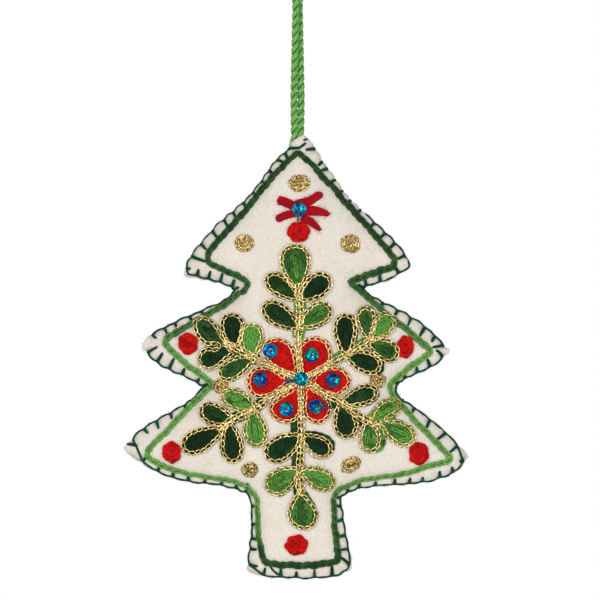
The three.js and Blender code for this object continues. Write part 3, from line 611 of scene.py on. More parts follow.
def on_skin(xy, lift):
    """Points lifted off the embroidered face."""
    x, d = xy[..., 0], xy[..., 1]
    base = np.stack([x, -skin_depth(x, d), -d], -1)
    return base + out_of_skin(xy) * np.asarray(lift)[..., None]


# Meshes
def added(name, data):
    """A new object in the scene."""
    obj = bpy.data.objects.new(name, data)
    bpy.context.scene.collection.objects.link(obj)
    return obj


def place(points):
    """Metres in the part's frame."""
    return (np.asarray(points) + [-CORD_ACROSS, 0, TIP_Z]) * MM


class Net:
    """Vertices, faces and shades of one piece, in millimetres from the tree's tip."""

    def __init__(self):
        self.points, self.faces, self.shades, self.count = [], [], [], 0

    def add(self, points, faces, shade=0.5):
        """Takes in points and the faces between them, numbered from the first of them."""
        points = np.asarray(points, float).reshape(-1, 3)
        self.points.append(points)
        self.faces.extend((np.asarray(f) + self.count).tolist() for f in faces)
        self.shades.append(np.broadcast_to(np.asarray(shade, float), len(points)))
        self.count += len(points)

    def piece(self, name, material, smooth=True):
        """A mesh object of all that was added."""
        mesh = bpy.data.meshes.new(name)
        mesh.from_pydata(place(np.vstack(self.points)).tolist(), [], self.faces)
        shade = mesh.attributes.new("shade", "FLOAT", "POINT")
        shade.data.foreach_set("value", np.concatenate(self.shades).astype(np.float32))
        if smooth:
            mesh.polygons.foreach_set("use_smooth", [True] * len(mesh.polygons))
        mesh.materials.append(material)
        mesh.update()
        return added(name, mesh)


def finished(obj, slot, *nodes):
    """A piece on the tree: it rides with it and stands for CAD nodes, which it hides; its finish slot is
    not used.
    """
    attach(obj, "tree")
    if nodes:
        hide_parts(*nodes)
    return obj


def faced_out(obj):
    """Turns a closed mesh's faces outwards."""
    bm = bmesh.new()
    bm.from_mesh(obj.data)
    bmesh.ops.recalc_face_normals(bm, faces=bm.faces)
    bm.to_mesh(obj.data)
    bm.free()
    return obj


def ring_faces(rings, sides, closed):
    """Quads between rings of points, with end caps on an open tube."""
    faces = []
    for i in range(rings if closed else rings - 1):
        a, b = i * sides, (i + 1) % rings * sides
        faces += [[a + j, a + (j + 1) % sides, b + (j + 1) % sides, b + j] for j in range(sides)]
    if not closed:
        last = (rings - 1) * sides
        faces += [list(range(sides))[::-1], [last + j for j in range(sides)]]
    return faces


def frames_along(path):
    """Two directions square to a path and to each other, turned as little as possible."""
    along = unit(np.gradient(path, axis=0))
    side = np.cross(along[0], [0.0, 1.0, 0.0])
    if np.linalg.norm(side) < 0.2:
        side = np.cross(along[0], [1.0, 0.0, 0.0])
    sides = []
    for way in along:
        side = unit(side - way * side.dot(way))
        sides.append(side)
    sides = np.array(sides)
    return sides, np.cross(along, sides)


def around(path, radius, first, second, sides):
    """Rings of points round a path, in the plane of two directions square to it."""
    turn = full_turn(sides)[:, None]
    ring = np.cos(turn) * first[..., None, :] + np.sin(turn) * second[..., None, :]
    return path[..., None, :] + radius[..., None, None] * ring


def tube(net, path, radius, sides=6, shade=0.5):
    """A capped tube along a path."""
    path = np.asarray(path, float)
    points = around(path, np.broadcast_to(radius, len(path)), *frames_along(path), sides)
    tone = np.repeat(np.broadcast_to(shade, len(path)), sides)
    net.add(points, ring_faces(len(path), sides, False), tone)


# Stitches: a chain's loops as shares of the way from one to the next, and how uneven they are
LOOP_REACH = 1.22
LOOP_START = 0.08
LOOP_NARROWING = 0.3
RISE_AT, RISE_WIDTH, RISE_HEIGHT = 0.25, 0.2, 0.75
DIP_BEFORE, DIP_AFTER, DIP_DEPTH = 0.03, 0.93, 0.9
REACH_SPREAD = 0.06
WIDTH_SPREAD = 0.12
YARN_SPREAD = 0.1
# Patches under the stitches, leaf shapes and loose fibres
PAD_FOOT = 0.5
PAD_RINGS = (0.85, 0.6, 0.3)
TAPER = 0.35
SLIMMEST_EGG = 0.15
ROOT_INSET, TIP_INSET = 0.6, 0.9
HAIR = [0.035, 0.03, 0.015]
HAIR_KNEE = 0.55
HAIR_BEND = 0.25
HAIR_PALER = 0.2


def chain(net, line, link, half, radius, lift, shade=None, spread=0.06, sides=5, rings=12, loose=0.12):
    """A row of interlocking loops of thread along a line on the embroidered face.

    Each loop rises over the end of the one before it, and its own two ends dip into the felt. A line
    with four columns also gives the shade and the size of the loops along it.
    """
    arc = arc_lengths(line[:, :2])
    count = max(1, int(round(arc[-1] / link)))
    step = arc[-1] / count
    phase = full_turn(rings)
    far = 0.5 - 0.5 * np.cos(phase)
    reach = LOOP_REACH + draws.uniform(-REACH_SPREAD, REACH_SPREAD, (count, 1))
    at = np.clip(np.arange(count)[:, None] * step + (far * reach - LOOP_START) * step, 0, arc[-1])
    size = np.ones(count)
    if line.shape[1] > 2:
        shade, size = read_off(at.mean(1), arc, line[:, 2:]).T
    size = size[:, None]
    wide = half * size * (1 + draws.uniform(-WIDTH_SPREAD, WIDTH_SPREAD, (count, 1)))
    off = wide * np.sin(phase) * (1 - LOOP_NARROWING * np.cos(phase))
    off = off + draws.normal(0, loose * half, (count, 1))
    xy = read_off(at, arc, line[:, :2]) + read_off(at, arc, right_of(line[:, :2])) * off[..., None]
    ends = (far > DIP_AFTER) | (far < DIP_BEFORE)
    rise = RISE_HEIGHT * np.exp(-((far - RISE_AT) / RISE_WIDTH) ** 2) - DIP_DEPTH * ends
    path = on_skin(xy, np.broadcast_to(lift + radius * rise, at.shape))
    along = unit(np.roll(path, -1, 1) - np.roll(path, 1, 1))
    beside = unit(np.cross(along, out_of_skin(xy)))
    thick = radius * size * (1 + draws.uniform(-YARN_SPREAD, YARN_SPREAD, (count, rings)))
    points = around(path, thick, beside, np.cross(beside, along), sides)
    tone = (np.broadcast_to(shade, count) + draws.normal(0, spread, count)).clip(0, 1)
    faces = ring_faces(rings, sides, True)
    for i in range(count):
        net.add(points[i], faces, tone[i])


def pad(net, border, edge_lift, top_lift, shade):
    """A soft domed patch on the embroidered face, closed under the felt's skin."""
    middle = border.mean(0)
    count = len(border)
    levels = [(1.0, -PAD_FOOT), (1.0, edge_lift)]
    levels += [(f, edge_lift + (top_lift - edge_lift) * math.sqrt(1 - f * f)) for f in PAD_RINGS]
    rings = [on_skin(middle + (border - middle) * f, lift) for f, lift in levels]
    faces = ring_faces(len(rings), count, False)[:-2]
    hub, base = len(rings) * count, len(rings) * count + 1
    last = hub - count
    for j in range(count):
        k = (j + 1) % count
        faces += [[last + j, last + k, hub], [k, j, base]]
    if signed_area(border) < 0:
        faces = [f[::-1] for f in faces]
    net.add(np.vstack(rings + [on_skin(middle, top_lift), on_skin(middle, -PAD_FOOT)]), faces, shade)


def egg(root, tip, width, rim=0.0, gap=0.0, count=40):
    """An egg-shaped line from its root round the tip and back, set in from the full shape."""
    root, tip = np.asarray(root, float), np.asarray(tip, float)
    length = np.linalg.norm(tip - root)
    along = (tip - root) / length
    across = np.array([-along[1], along[0]])
    turn = np.linspace(gap, 2 * math.pi - gap, count)
    wide = max(width / 2 - rim, SLIMMEST_EGG) * np.sin(turn) * (1 - TAPER * np.cos(turn))
    far = ROOT_INSET * rim + (length - (ROOT_INSET + TIP_INSET) * rim) * (0.5 - 0.5 * np.cos(turn))
    return root + far[:, None] * along + wide[:, None] * across


def hair(net, root, way, bend, shade=0.5):
    """One loose fibre, bent towards its end."""
    tube(net, [root, root + way * HAIR_KNEE, root + way + bend], HAIR, 3, shade)


def fuzz(net, count, length=0.9, onto=None):
    """Loose fibres standing off a net's yarn, in the same net or in another."""
    points = np.vstack(net.points)
    shades = np.concatenate(net.shades)
    for i in draws.integers(0, len(points), count):
        way = draws.normal(0, 1, 3)
        way[1] = -0.5 * abs(way[1])
        way *= draws.uniform(0.4, 1) * length / np.linalg.norm(way)
        bend = draws.normal(0, HAIR_BEND * length, 3)
        hair(onto or net, points[i], way, bend, min(1.0, shades[i] + HAIR_PALER))


# Materials
WHITE = (1, 1, 1)


def srgb(*colour):
    """A colour as seen on screen, in linear values."""
    return tuple(c / 12.92 if c <= 0.04045 else ((c + 0.055) / 1.055) ** 2.4 for c in colour) + (1.0,)


class Nodes:
    """Makes and links the shader nodes of a material or of the world."""

    def __init__(self, owner):
        owner.use_nodes = True
        self.tree = owner.node_tree

    def put(self, socket, value):
        if isinstance(value, bpy.types.NodeSocket):
            self.tree.links.new(value, socket)
        else:
            socket.default_value = value

    def node(self, kind, **inputs):
        made = self.tree.nodes.new(kind)
        for key, value in inputs.items():
            self.put(made.inputs[key.replace("_", " ")], value)
        return made

    def math(self, operation, *values):
        made = self.node("ShaderNodeMath")
        made.operation = operation
        for socket, value in zip(made.inputs, values):
            self.put(socket, value)
        return made.outputs[0]


class Shader(Nodes):
    """Builds a Principled material with noise in the object's own coordinates."""

    def __init__(self, name, roughness, sheen=0.0, metallic=0.0, specular=0.5):
        self.material = bpy.data.materials.new(name)
        super().__init__(self.material)
        self.main = self.tree.nodes["Principled BSDF"].inputs
        self.main["Roughness"].default_value = roughness
        self.main["Metallic"].default_value = metallic
        self.main["Specular IOR Level"].default_value = specular
        self.main["Sheen Weight"].default_value = sheen
        self.main["Sheen Roughness"].default_value = 0.5
        self.where = self.node("ShaderNodeTexCoord").outputs["Object"]

    def noise(self, size_mm, detail=3.0, roughness=0.6):
        made = self.node("ShaderNodeTexNoise", Vector=self.where, Scale=1 / (size_mm * MM),
                         Detail=detail, Roughness=roughness)
        return made.outputs["Fac"]

    def ramp(self, value, *stops):
        """Colours as seen on screen along a value, each after its place on it."""
        made = self.node("ShaderNodeValToRGB", Fac=value)
        band = made.color_ramp
        while len(band.elements) < len(stops):
            band.elements.new(0.5)
        for element, (position, *colour) in zip(band.elements, stops):
            element.position, element.color = position, srgb(*colour)
        return made.outputs["Color"]

    def darkened(self, share, colour, by):
        """A colour multiplied by another one, in part."""
        made = self.node("ShaderNodeMix")
        made.data_type, made.blend_type = "RGBA", "MULTIPLY"
        # The node's sockets for colours share their names with others, so they go by number.
        for socket, value in ((0, share), (6, colour), (7, by)):
            self.put(made.inputs[socket], value)
        return made.outputs[2]

    def stored(self, name):
        """The outputs of a value kept on the mesh."""
        made = self.node("ShaderNodeAttribute")
        made.attribute_name = name
        return made.outputs

    def colour(self, socket):
        self.put(self.main["Base Color"], socket)

    def bump(self, height, distance_mm, strength):
        made = self.node("ShaderNodeBump", Height=height, Distance=distance_mm * MM, Strength=strength)
        self.put(self.main["Normal"], made.outputs["Normal"])


def felt_material(name, pale, warm, grey):
    """Matted fibres: cloudy, with fine grey flecks."""
    look = Shader(name, 0.95, sheen=0.1, specular=0.1)
    cloud = look.ramp(look.noise(9.0), (0.3, *warm), (0.7, *pale))
    fleck = look.ramp(look.noise(0.6, 4.0, 0.7), (0.3, *grey), (0.62, *WHITE))
    look.colour(look.darkened(0.4, cloud, fleck))
    look.bump(look.math("ADD", look.noise(0.5, 4.0, 0.7), look.noise(2.2, 2.0)), 0.3, 0.55)
    return look.material


def wool_material(name, *stops):
    """Wool whose colour goes by the shade stored on it, with paler and darker fibres."""
    look = Shader(name, 0.95, sheen=0.05, specular=0.08)
    uneven = look.math("MULTIPLY_ADD", look.noise(1.6, 3.0, 0.65), 0.3, -0.15)
    base = look.ramp(look.math("ADD", look.stored("shade")["Fac"], uneven), *stops)
    fleck = look.ramp(look.noise(0.3, 3.0, 0.7), (0.3, 0.6, 0.6, 0.6), (0.7, *WHITE))
    look.colour(look.darkened(0.8, base, fleck))
    look.bump(look.noise(0.28, 4.0, 0.75), 0.12, 0.8)
    return look.material


def gold_material():
    """Foil thread: metal that glints, with painted highlights and painted shade in its colour, and painted
    shade low down between the loops.
    """
    look = Shader("gold_thread", 0.34, metallic=1.0)
    # Painted highlights and painted shade: the foil's colour runs from dark brown to pale straw in small
    # patches.
    tone = look.ramp(look.noise(0.5, 3.0, 0.7), (0.38, 0.42, 0.32, 0.13), (0.5, 0.77, 0.66, 0.4),
                     (0.6, 1.0, 0.93, 0.71))
    # Painted shade: a low shade stored on the mesh darkens the gold where it lies low, in the gaps between
    # loops and on the patches under the dots.
    depth = look.ramp(look.stored("shade")["Fac"], (0.0, 0.55, 0.5, 0.4), (0.4, *WHITE))
    look.colour(look.darkened(1.0, tone, depth))
    look.bump(look.noise(0.22, 2.0), 0.06, 0.7)
    return look.material


def sequin_material():
    """Film in the colour stored on each facet, a little cloudy."""
    look = Shader("sequin_film", 0.3, metallic=0.9, specular=0.0)
    cloudy = look.ramp(look.noise(0.7, 2.0), (0.3, 0.7, 0.7, 0.75), (0.7, *WHITE))
    look.colour(look.darkened(0.7, look.stored("tint")["Color"], cloudy))
    look.main["Coat Weight"].default_value = 0.02
    look.main["Coat Roughness"].default_value = 0.1
    return look.material


FELT_MATERIAL = felt_material("cream_felt", (0.93, 0.903, 0.86), (0.915, 0.88, 0.832), (0.8, 0.77, 0.72))
FIBRE_MATERIAL = felt_material("white_fibre", (0.93, 0.93, 0.92), (0.9, 0.9, 0.89), (0.85, 0.85, 0.85))
GREEN_WOOL = wool_material("green_wool", (0.0, 0.08, 0.19, 0.1), (0.2, 0.13, 0.28, 0.14),
                           (0.55, 0.28, 0.49, 0.21), (0.95, 0.46, 0.73, 0.32))
BORDER_WOOL = wool_material("border_wool", (0.0, 0.13, 0.25, 0.13), (0.2, 0.19, 0.34, 0.18),
                            (0.55, 0.32, 0.5, 0.26), (0.95, 0.5, 0.74, 0.36))
RED_WOOL = wool_material("red_wool", (0.0, 0.64, 0.02, 0.03), (0.5, 0.92, 0.08, 0.07),
                         (1.0, 1.0, 0.15, 0.13))
STAR_WOOL = wool_material("star_wool", (0.0, 0.63, 0.04, 0.11), (1.0, 0.88, 0.09, 0.19))
RIM_WOOL = wool_material("rim_thread", (0.0, 0.02, 0.2, 0.13), (1.0, 0.05, 0.44, 0.33))
CORD_WOOL = wool_material("cord_yarn", (0.0, 0.22, 0.5, 0.17), (1.0, 0.62, 0.9, 0.5))
TIE_THREAD = wool_material("tie_thread", (0.0, 0.18, 0.28, 0.34), (1.0, 0.34, 0.45, 0.53))
GOLD = gold_material()
SEQUIN = sequin_material()

# Camera, straight on with a long lens
PHOTO_SCALE = 0.2847
PHOTO_WIDTH = 600 * PHOTO_SCALE
PHOTO_MIDDLE = [0.14, 45.7]
CAMERA_AWAY = 3000.0
SENSOR_WIDTH = 36.0
camera_data = bpy.data.cameras.new("camera")
camera_data.sensor_width = SENSOR_WIDTH
camera_data.lens = SENSOR_WIDTH * CAMERA_AWAY / PHOTO_WIDTH
camera_data.clip_start, camera_data.clip_end = 0.05, 20.0
camera = added("camera", camera_data)
camera.location = place([PHOTO_MIDDLE[0], -CAMERA_AWAY, -PHOTO_MIDDLE[1]])
camera.rotation_euler = (math.pi / 2, 0, 0)
bpy.context.scene.camera = camera

# Cord
CORD_SIDES = 24
STRANDS = 6
STRAND_RELIEF = 0.06
STRAND_PAINTED_LIGHT = 4
PLY_OFF, PLY_DEEP, PLY_WIDE = 0.46, 0.54, 0.75
PLY_SHADOW = 1.2
CORD_MOTTLE = 0.16
TAIL_TOP = -0.05


def rope(net, path, shade):
    """Two plies pressed against each other, rising to the right, with painted shade down between them and
    painted highlights on the raised strands.
    """
    path = resampled(path, 0.3)
    first, second = frames_along(path)
    arc = arc_lengths(path)
    turn = full_turn(CORD_SIDES)
    strands = 1 + STRAND_RELIEF * np.sin(STRANDS * turn - 2 * math.pi * arc[:, None] / STRAND_LEAD)
    far = (PLY_OFF + PLY_DEEP * np.cos(turn) * strands)[..., None]
    wide = (PLY_WIDE * np.sin(turn) * strands)[..., None]
    low = 1 - np.hypot(far, wide)[..., 0]
    for ply in range(2):
        angle = (2 * math.pi * (arc / CORD_LEAD + ply / 2))[:, None]
        out = (np.cos(angle) * first + np.sin(angle) * second)[:, None]
        beside = (np.cos(angle) * second - np.sin(angle) * first)[:, None]
        points = path[:, None] + CORD_DIAMETER / 2 * (far * out + wide * beside)
        mottle = draws.normal(0, CORD_MOTTLE, low.shape)
        # Painted shade deep in the grooves between the plies and painted highlights on the raised strands,
        # over a random mottle.
        tone = shade + mottle - PLY_SHADOW * low + STRAND_PAINTED_LIGHT * (strands - 1)
        net.add(points, ring_faces(len(path), CORD_SIDES, False), np.clip(tone, 0, 1).ravel())


cord_line = spline(CORD_ROUTE, 0.5)
drawn = STRANDS_DRAWN * np.clip((LOOP_FOOT - cord_line[:, 2]) / 4, 0, 1)
foot = np.clip(1 - cord_line[:, 2] / FOOT_HEIGHT, 0, 1)
drawn += FOOT_DRAWN * foot
side = np.sign(cord_line[:, 0])
cord_line[:, 0] -= np.clip(cord_line[:, 0], -drawn, drawn)
cord_line[:, 1] += side * FOOT_TURN * np.minimum(foot, 1 - foot) * 2
cord_line[:, 0] += CORD_ACROSS
cord_net = Net()
rope(cord_net, cord_line, 0.7)
cord = cord_net.piece("twisted_cord", CORD_WOOL)
cord_path = place(resampled(cord_line, 0.4))
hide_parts("hanger_cord")
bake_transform(cord)

tail_net = Net()
for side in (-1, 1):
    x = CORD_ACROSS + side * (CORD_ROUTE[-1][0] - STRANDS_DRAWN - FOOT_DRAWN)
    rope(tail_net, [[x, 0, TAIL_TOP], [x, 0, -TAIL_LENGTH]], 0.6)
finished(tail_net.piece("cord_ends", CORD_WOOL), "green_cord", "cord_tails")

# Felt layers and filling
RIM_RINGS = (0.35, 0.8, 1.4, 2.2, 3.2)
RING_CLEARANCE = 0.85
GRID_INSET = 3.8
GRID_ROW = 0.87
FELT_GRID = 1.25
FILLING_GRID = 2.0
FILLING_INSET = 3.0
FILLING_GAP = 0.5
FILLING_BELOW_CORD = 1.5


def closed_sheet(name, material, loop, spacing, top, bottom):
    """A closed body between two faces over the area inside a loop."""
    rings = [loop]
    for depth in RIM_RINGS:
        ring = inset(loop, depth)
        rings.append(ring[(nearest(ring, loop)[0] > RING_CLEARANCE * depth) & inside(ring, loop)])
    low, high = loop.min(0), loop.max(0)
    xs, ds = np.arange(low[0], high[0], spacing), np.arange(low[1], high[1], spacing * GRID_ROW)
    grid = np.array([[x + (j % 2) * spacing / 2, d] for j, d in enumerate(ds) for x in xs])
    grid = grid[inside(grid, loop)]
    rings.append(grid[nearest(grid, loop)[0] > GRID_INSET])
    count = len(loop)
    edges = [(i, (i + 1) % count) for i in range(count)]
    found, _, triangles, *_ = delaunay_2d_cdt([Vector(p) for p in np.vstack(rings)], edges, [], 1, 1e-4)
    flat = np.array([list(p) for p in found])
    triangles = [list(t) for t in triangles]
    size = len(flat)
    faces = triangles + [[i + size for i in t[::-1]] for t in triangles]
    # A side that no second triangle shares is on the loop, and gets a wall.
    sides = dict.fromkeys((a, b) for t in triangles for a, b in zip(t, t[1:] + t[:1]))
    faces += [[b, a, a + size, b + size] for a, b in sides if (b, a) not in sides]
    net = Net()
    net.add([[x, depth, -d] for face in (top, bottom) for (x, d), depth in zip(flat, face(flat))], faces)
    return faced_out(net.piece(name, material))


def felt_layer(name, rim, facing, seed, node):
    """One of the two felt panels, facing -1 to the front or 1 to the back."""
    obj = closed_sheet(name, FELT_MATERIAL, rim, FELT_GRID,
                       lambda p: facing * outer_depth(p, rim, seed), lambda p: facing * inner_depth(p))
    finished(obj, "cream_felt", node)


def filling_depth(points, seed):
    """How far the filling reaches, sunk here and there under the felt."""
    return inner_depth(points) - FILLING_GAP + np.minimum(lumps(points, seed), 0)


filling_loop = inset(BACK_LOOP, FILLING_INSET)
clear = nearest(filling_loop, BACK_LOOP)[0] > FILLING_INSET - 0.4
below_cord = filling_loop[:, 1] > TAIL_LENGTH + FILLING_BELOW_CORD
stuffing = closed_sheet("stuffing", FIBRE_MATERIAL, filling_loop[clear & below_cord], FILLING_GRID,
                        lambda p: -filling_depth(p, 3.0), lambda p: filling_depth(p, 4.0))
finished(stuffing, "white_fibre", "fibre_stuffing")
felt_layer("felt_front", FRONT_RIM, -1, FRONT_SEED, "front_felt_panel")
felt_layer("felt_back", BACK_RIM, 1, BACK_SEED, "back_felt_panel")

# Blanket stitch
RIM_THREAD = 0.34
FINE_THREAD = 0.25
FINE_DOWN_TO = 34
BEHIND_DOWN_TO = 22
LEG_THREAD = 0.5
SHORTEST_LEG = 0.75
LEG_SHARES = np.array([0, 0.3, 0.85, 1.2])
LEG_LIFTS = np.array([0.3, 0.4, 0.34, -0.4])
LEG_START = 0.7
BEND_INSET = 0.65
BEND_DEPTHS = (0.7, 0, -0.7)
KNOT_INSET = 0.5
KNOT_LIFT = 0.2
CUT_INSET = 0.4
CUT_SHARES = np.array([[0.3], [0.7]])
RUN_LIFT = 0.16
RUN_SLACK = 0.4
KNOT_BEHIND, RUN_BEHIND = 0.4, 0.5
LOOSE_LIFTS = np.array([-0.3, 0.2, 0.3, 0.2, -0.3])


def leg(spot, way, reach, facing):
    """The part of a blanket stitch that lies on one face, from the rim inwards."""
    start = min(LEG_START, 0.4 * reach)
    along = start + LEG_SHARES * (reach - start)
    path = on_skin(spot + np.outer(along, way), LEG_LIFTS)
    path[:, 1] *= -facing
    return path


def cut_corner(a, b):
    """The face on which the rim thread runs across a corner between two stitches, or none."""
    for arc, (*_, face) in zip(CORNER_ARCS, CUT_CORNERS):
        if a < arc < b:
            return face
    return 0


stitch_net = Net()
spots, ways = along_loop(FRONT_LOOP, STITCH_ARCS)
run = []
for i, (spot, way, end) in enumerate(zip(spots, ways, BLANKET[:, 2:])):
    reach = np.linalg.norm(end - spot)
    lean = (end - spot) / reach
    rim = spot + way * BEND_INSET
    bend = [[rim[0], y, -rim[1]] for y in BEND_DEPTHS]
    if reach > SHORTEST_LEG:
        path = spline(np.vstack([leg(spot, lean, reach, 1)[::-1], bend, leg(spot, lean, reach, -1)]), 0.4)
        thick = LEG_THREAD * draw.uniform(0.8, 1.05) * (1.1 - 0.25 * np.abs(np.linspace(-1, 1, len(path))))
        tube(stitch_net, path, thick, 7, draw.uniform(0.1, 0.6))
    behind = spot[0] > 0 and spot[1] < BEHIND_DOWN_TO
    run.append([rim[0], KNOT_BEHIND, -rim[1]] if behind else on_skin(spot + way * KNOT_INSET, KNOT_LIFT))
    if i + 1 == len(spots):
        break
    face = cut_corner(STITCH_ARCS[i], STITCH_ARCS[i + 1])
    if face:
        here, there = (spots[k] + ways[k] * CUT_INSET for k in (i, i + 1))
        run.extend(on_skin(here * (1 - CUT_SHARES) + there * CUT_SHARES, KNOT_LIFT) * [1, face, 1])
        continue
    middle, inward = (v[0] for v in along_loop(FRONT_LOOP, [(STITCH_ARCS[i] + STITCH_ARCS[i + 1]) / 2]))
    between = middle + inward * draw.uniform(0.0, RUN_SLACK)
    run.append([between[0], RUN_BEHIND, -between[1]] if behind else on_skin(between, RUN_LIFT))
run = spline(run, 0.5)
fine = (run[:, 0] < 0) & (run[:, 2] > -FINE_DOWN_TO)
run_tone = np.clip(0.45 + draws.normal(0, 0.12, len(run)), 0, 1)
tube(stitch_net, run, np.where(fine, FINE_THREAD, RIM_THREAD), 6, run_tone)
for start, end, thick in LOOSE_THREADS:
    path = on_skin(np.linspace(start, end, len(LOOSE_LIFTS)), LOOSE_LIFTS)
    tube(stitch_net, spline(path, 0.4), thick, 7, 0.3)
finished(stitch_net.piece("blanket_stitch", RIM_WOOL), "rim_thread", "rim_blanket_stitch")

# Border line in wool chain stitch, over a core of the same wool painted darker, as shade in the holes of
# the links
BORDER_CHAIN = dict(link=2.3, half=0.54, radius=0.42, lift=0.36, sides=8, rings=14)
BORDER_USUAL = 1.8
BORDER_WANDER = 0.25
CORE_RADIUS = 0.48
CORE_LIFT = 0.25
CORE_PAINTED_SHADE = 0.32
border_net = Net()
border_line = BORDER_LINE.copy()
wander = noise_over(BORDER_LINE[:, :2], 0.35, 7.0)[:, None]
border_line[:, :2] += right_of(BORDER_LINE[:, :2], True) * (BORDER_WANDER * wander - BORDER_WANDER)
border_line[:, 3] /= BORDER_USUAL
border_line = np.vstack([border_line, border_line[:1]])
# The core's tone is lowered: painted shade in the holes of the links.
tube(border_net, on_skin(border_line[:, :2], CORE_LIFT), CORE_RADIUS * border_line[:, 3], 7,
     np.clip(border_line[:, 2] - CORE_PAINTED_SHADE, 0, 1))
chain(border_net, border_line, **BORDER_CHAIN)
fuzz(border_net, 3600)
finished(border_net.piece("border_chain", BORDER_WOOL), "border_yarn", "border_stitch")

# Sprigs, with a gold chain on their stems and round their leaves
WOOL = dict(link=1.9, half=0.36, radius=0.3, sides=6, loose=0.3)
PETAL_WOOL = dict(link=2.1, half=0.4, radius=0.33, sides=6, loose=0.3)
GOLD_CHAIN = dict(link=1.75, half=0.48, radius=0.2, rings=14, shade=0.5)
GOLD_LIFT = 0.92
STEM_ROWS = (-0.95, 0.0, 0.95)
STEM_LIFT = 0.36
LEAF_FUZZ = 1400
LEAF_BED = 0.45
PETAL_BED = 0.3
BED_EDGE = 0.1
# How much darker the bed under the wool rows is painted, as shade in the gaps between them
BED_PAINTED_SHADE = 0.35
FILL_LIFT = 0.42
FILL_DOME = 0.3
ROW = 1.05
FIRST_ROW = 0.1
MIDDLE_ROW = 0.6
FLOWER_GAP = 1.2


def wool_fill(net, border, rows, shade, yarn, bed):
    """A leaf or petal filled with rows of wool chain, higher towards its middle, over a bed painted darker
    as shade in the gaps.
    """
    pad(net, border, BED_EDGE, bed, max(shade - BED_PAINTED_SHADE, 0))
    for k, row in enumerate(rows):
        lift = FILL_LIFT + FILL_DOME * k / len(rows)
        tone = shade + draw.uniform(-0.05, 0.05)
        chain(net, row, lift=lift, shade=tone, spread=0.05 + 0.12 * shade, **yarn)


def leaf_rows(root, tip, width):
    """Lines one inside the other from a leaf's root round its tip, and one down its middle."""
    rims = np.arange(FIRST_ROW, width / 2 - MIDDLE_ROW, ROW)
    rows = [egg(root, tip, width, rim, 0.25, 60) for rim in rims]
    end = (rims[-1] + ROW) / np.linalg.norm(tip - root)
    return rows + [resampled([root + (tip - root) * 0.22, tip - (tip - root) * end], 0.4)]


for name, (stem, stem_shade, beside, leaves) in SPRIGS.items():
    wool, gold = Net(), Net()
    line = spline(stem, 0.5)
    for row in STEM_ROWS:
        off = (row + np.linspace(*beside, len(line)))[:, None]
        chain(wool, line + right_of(line) * off, lift=STEM_LIFT, shade=stem_shade, spread=0.08, **WOOL)
    for root, tip, width, shade, *more in leaves:
        shift = np.array(more[0] if more else [0, 0])
        wide = more[1] if len(more) > 1 else width
        border = egg(root + shift, tip + shift, wide, -0.3, count=33)[:-1]
        wool_fill(wool, border, leaf_rows(root + shift, tip + shift, wide), shade, WOOL, LEAF_BED)
        if width:
            chain(gold, egg(root, tip, width, gap=0.12, count=80), lift=GOLD_LIFT, **GOLD_CHAIN)
    if name in GOLD_RUNS:
        chain(gold, spline(GOLD_RUNS[name], 0.4), lift=GOLD_LIFT, **GOLD_CHAIN)
    centre = np.array(FLOWER_CENTRE)
    inner = resampled([centre + unit(stem[0] - centre) * FLOWER_GAP, stem[0]], 0.5)
    for part, apart, lift in ((inner, 0.3, 1.15), (line, 0.5, 1.0)):
        for off in (-apart, apart):
            chain(gold, part + right_of(part) * off, lift=lift, **GOLD_CHAIN)
    fuzz(wool, LEAF_FUZZ)
    finished(wool.piece(f"leaves_{name}", GREEN_WOOL), "leaf_wool", f"sprig_{name}")
    finished(gold.piece(f"gold_chain_{name}", GOLD), "gold_thread", f"gold_line_{name}")

# Petals
PETAL_ROWS = 6
PETAL_STEPS = 24
PETAL_FUZZ = 120
PETAL_GROWTH = 0.06


def petal_rows(border):
    """Lines side by side from a petal's root to its far end, the outer ones first."""
    far = int(np.argmax(np.linalg.norm(border - border[0], axis=1)))
    sides = (border[:far + 1], np.vstack([border[:1], border[:far - 1:-1]]))
    left, right = (resampled(side, arc_lengths(side)[-1] / PETAL_STEPS) for side in sides)
    shares = sorted(np.linspace(0.09, 0.91, PETAL_ROWS), key=lambda share: -abs(share - 0.5))
    return [(left * (1 - share) + right * share)[1:-1] for share in shares]


petal_gold = Net()
for name, (middle, border) in PETALS.items():
    net = Net()
    border = spline(border, 0.4, True)
    wide = border * (1 + PETAL_GROWTH) - np.array(middle) * PETAL_GROWTH
    wool_fill(net, wide[::2], petal_rows(border), 0.5, PETAL_WOOL, PETAL_BED)
    fuzz(net, PETAL_FUZZ)
    finished(net.piece(f"wool_petal_{name}", RED_WOOL), "red_wool", f"petal_{name}")
    chain(petal_gold, np.vstack([border, border[:1]]), lift=GOLD_LIFT, **GOLD_CHAIN)
finished(petal_gold.piece("gold_chain_petals", GOLD), "gold_thread")

# Dots
RED_CHAIN = dict(link=1.8, half=0.34, radius=0.32, lift=0.55, shade=0.5, spread=0.15, sides=6)
# The dots' gold has a low stored shade, lowest on the lower spiral, which the gold material turns into
# painted shade.
LOW_GOLD = dict(link=1.5, half=0.38, radius=0.15, lift=0.38, shade=0.24)
HIGH_GOLD = dict(link=1.6, half=0.4, radius=0.15, lift=0.52, shade=0.32)
DOT_FUZZ = 300


def turned(points, centre, turn):
    """Points turned about a dot's centre."""
    spin = np.array([[math.cos(turn), math.sin(turn)], [-math.sin(turn), math.cos(turn)]])
    return np.array(centre) + points @ spin


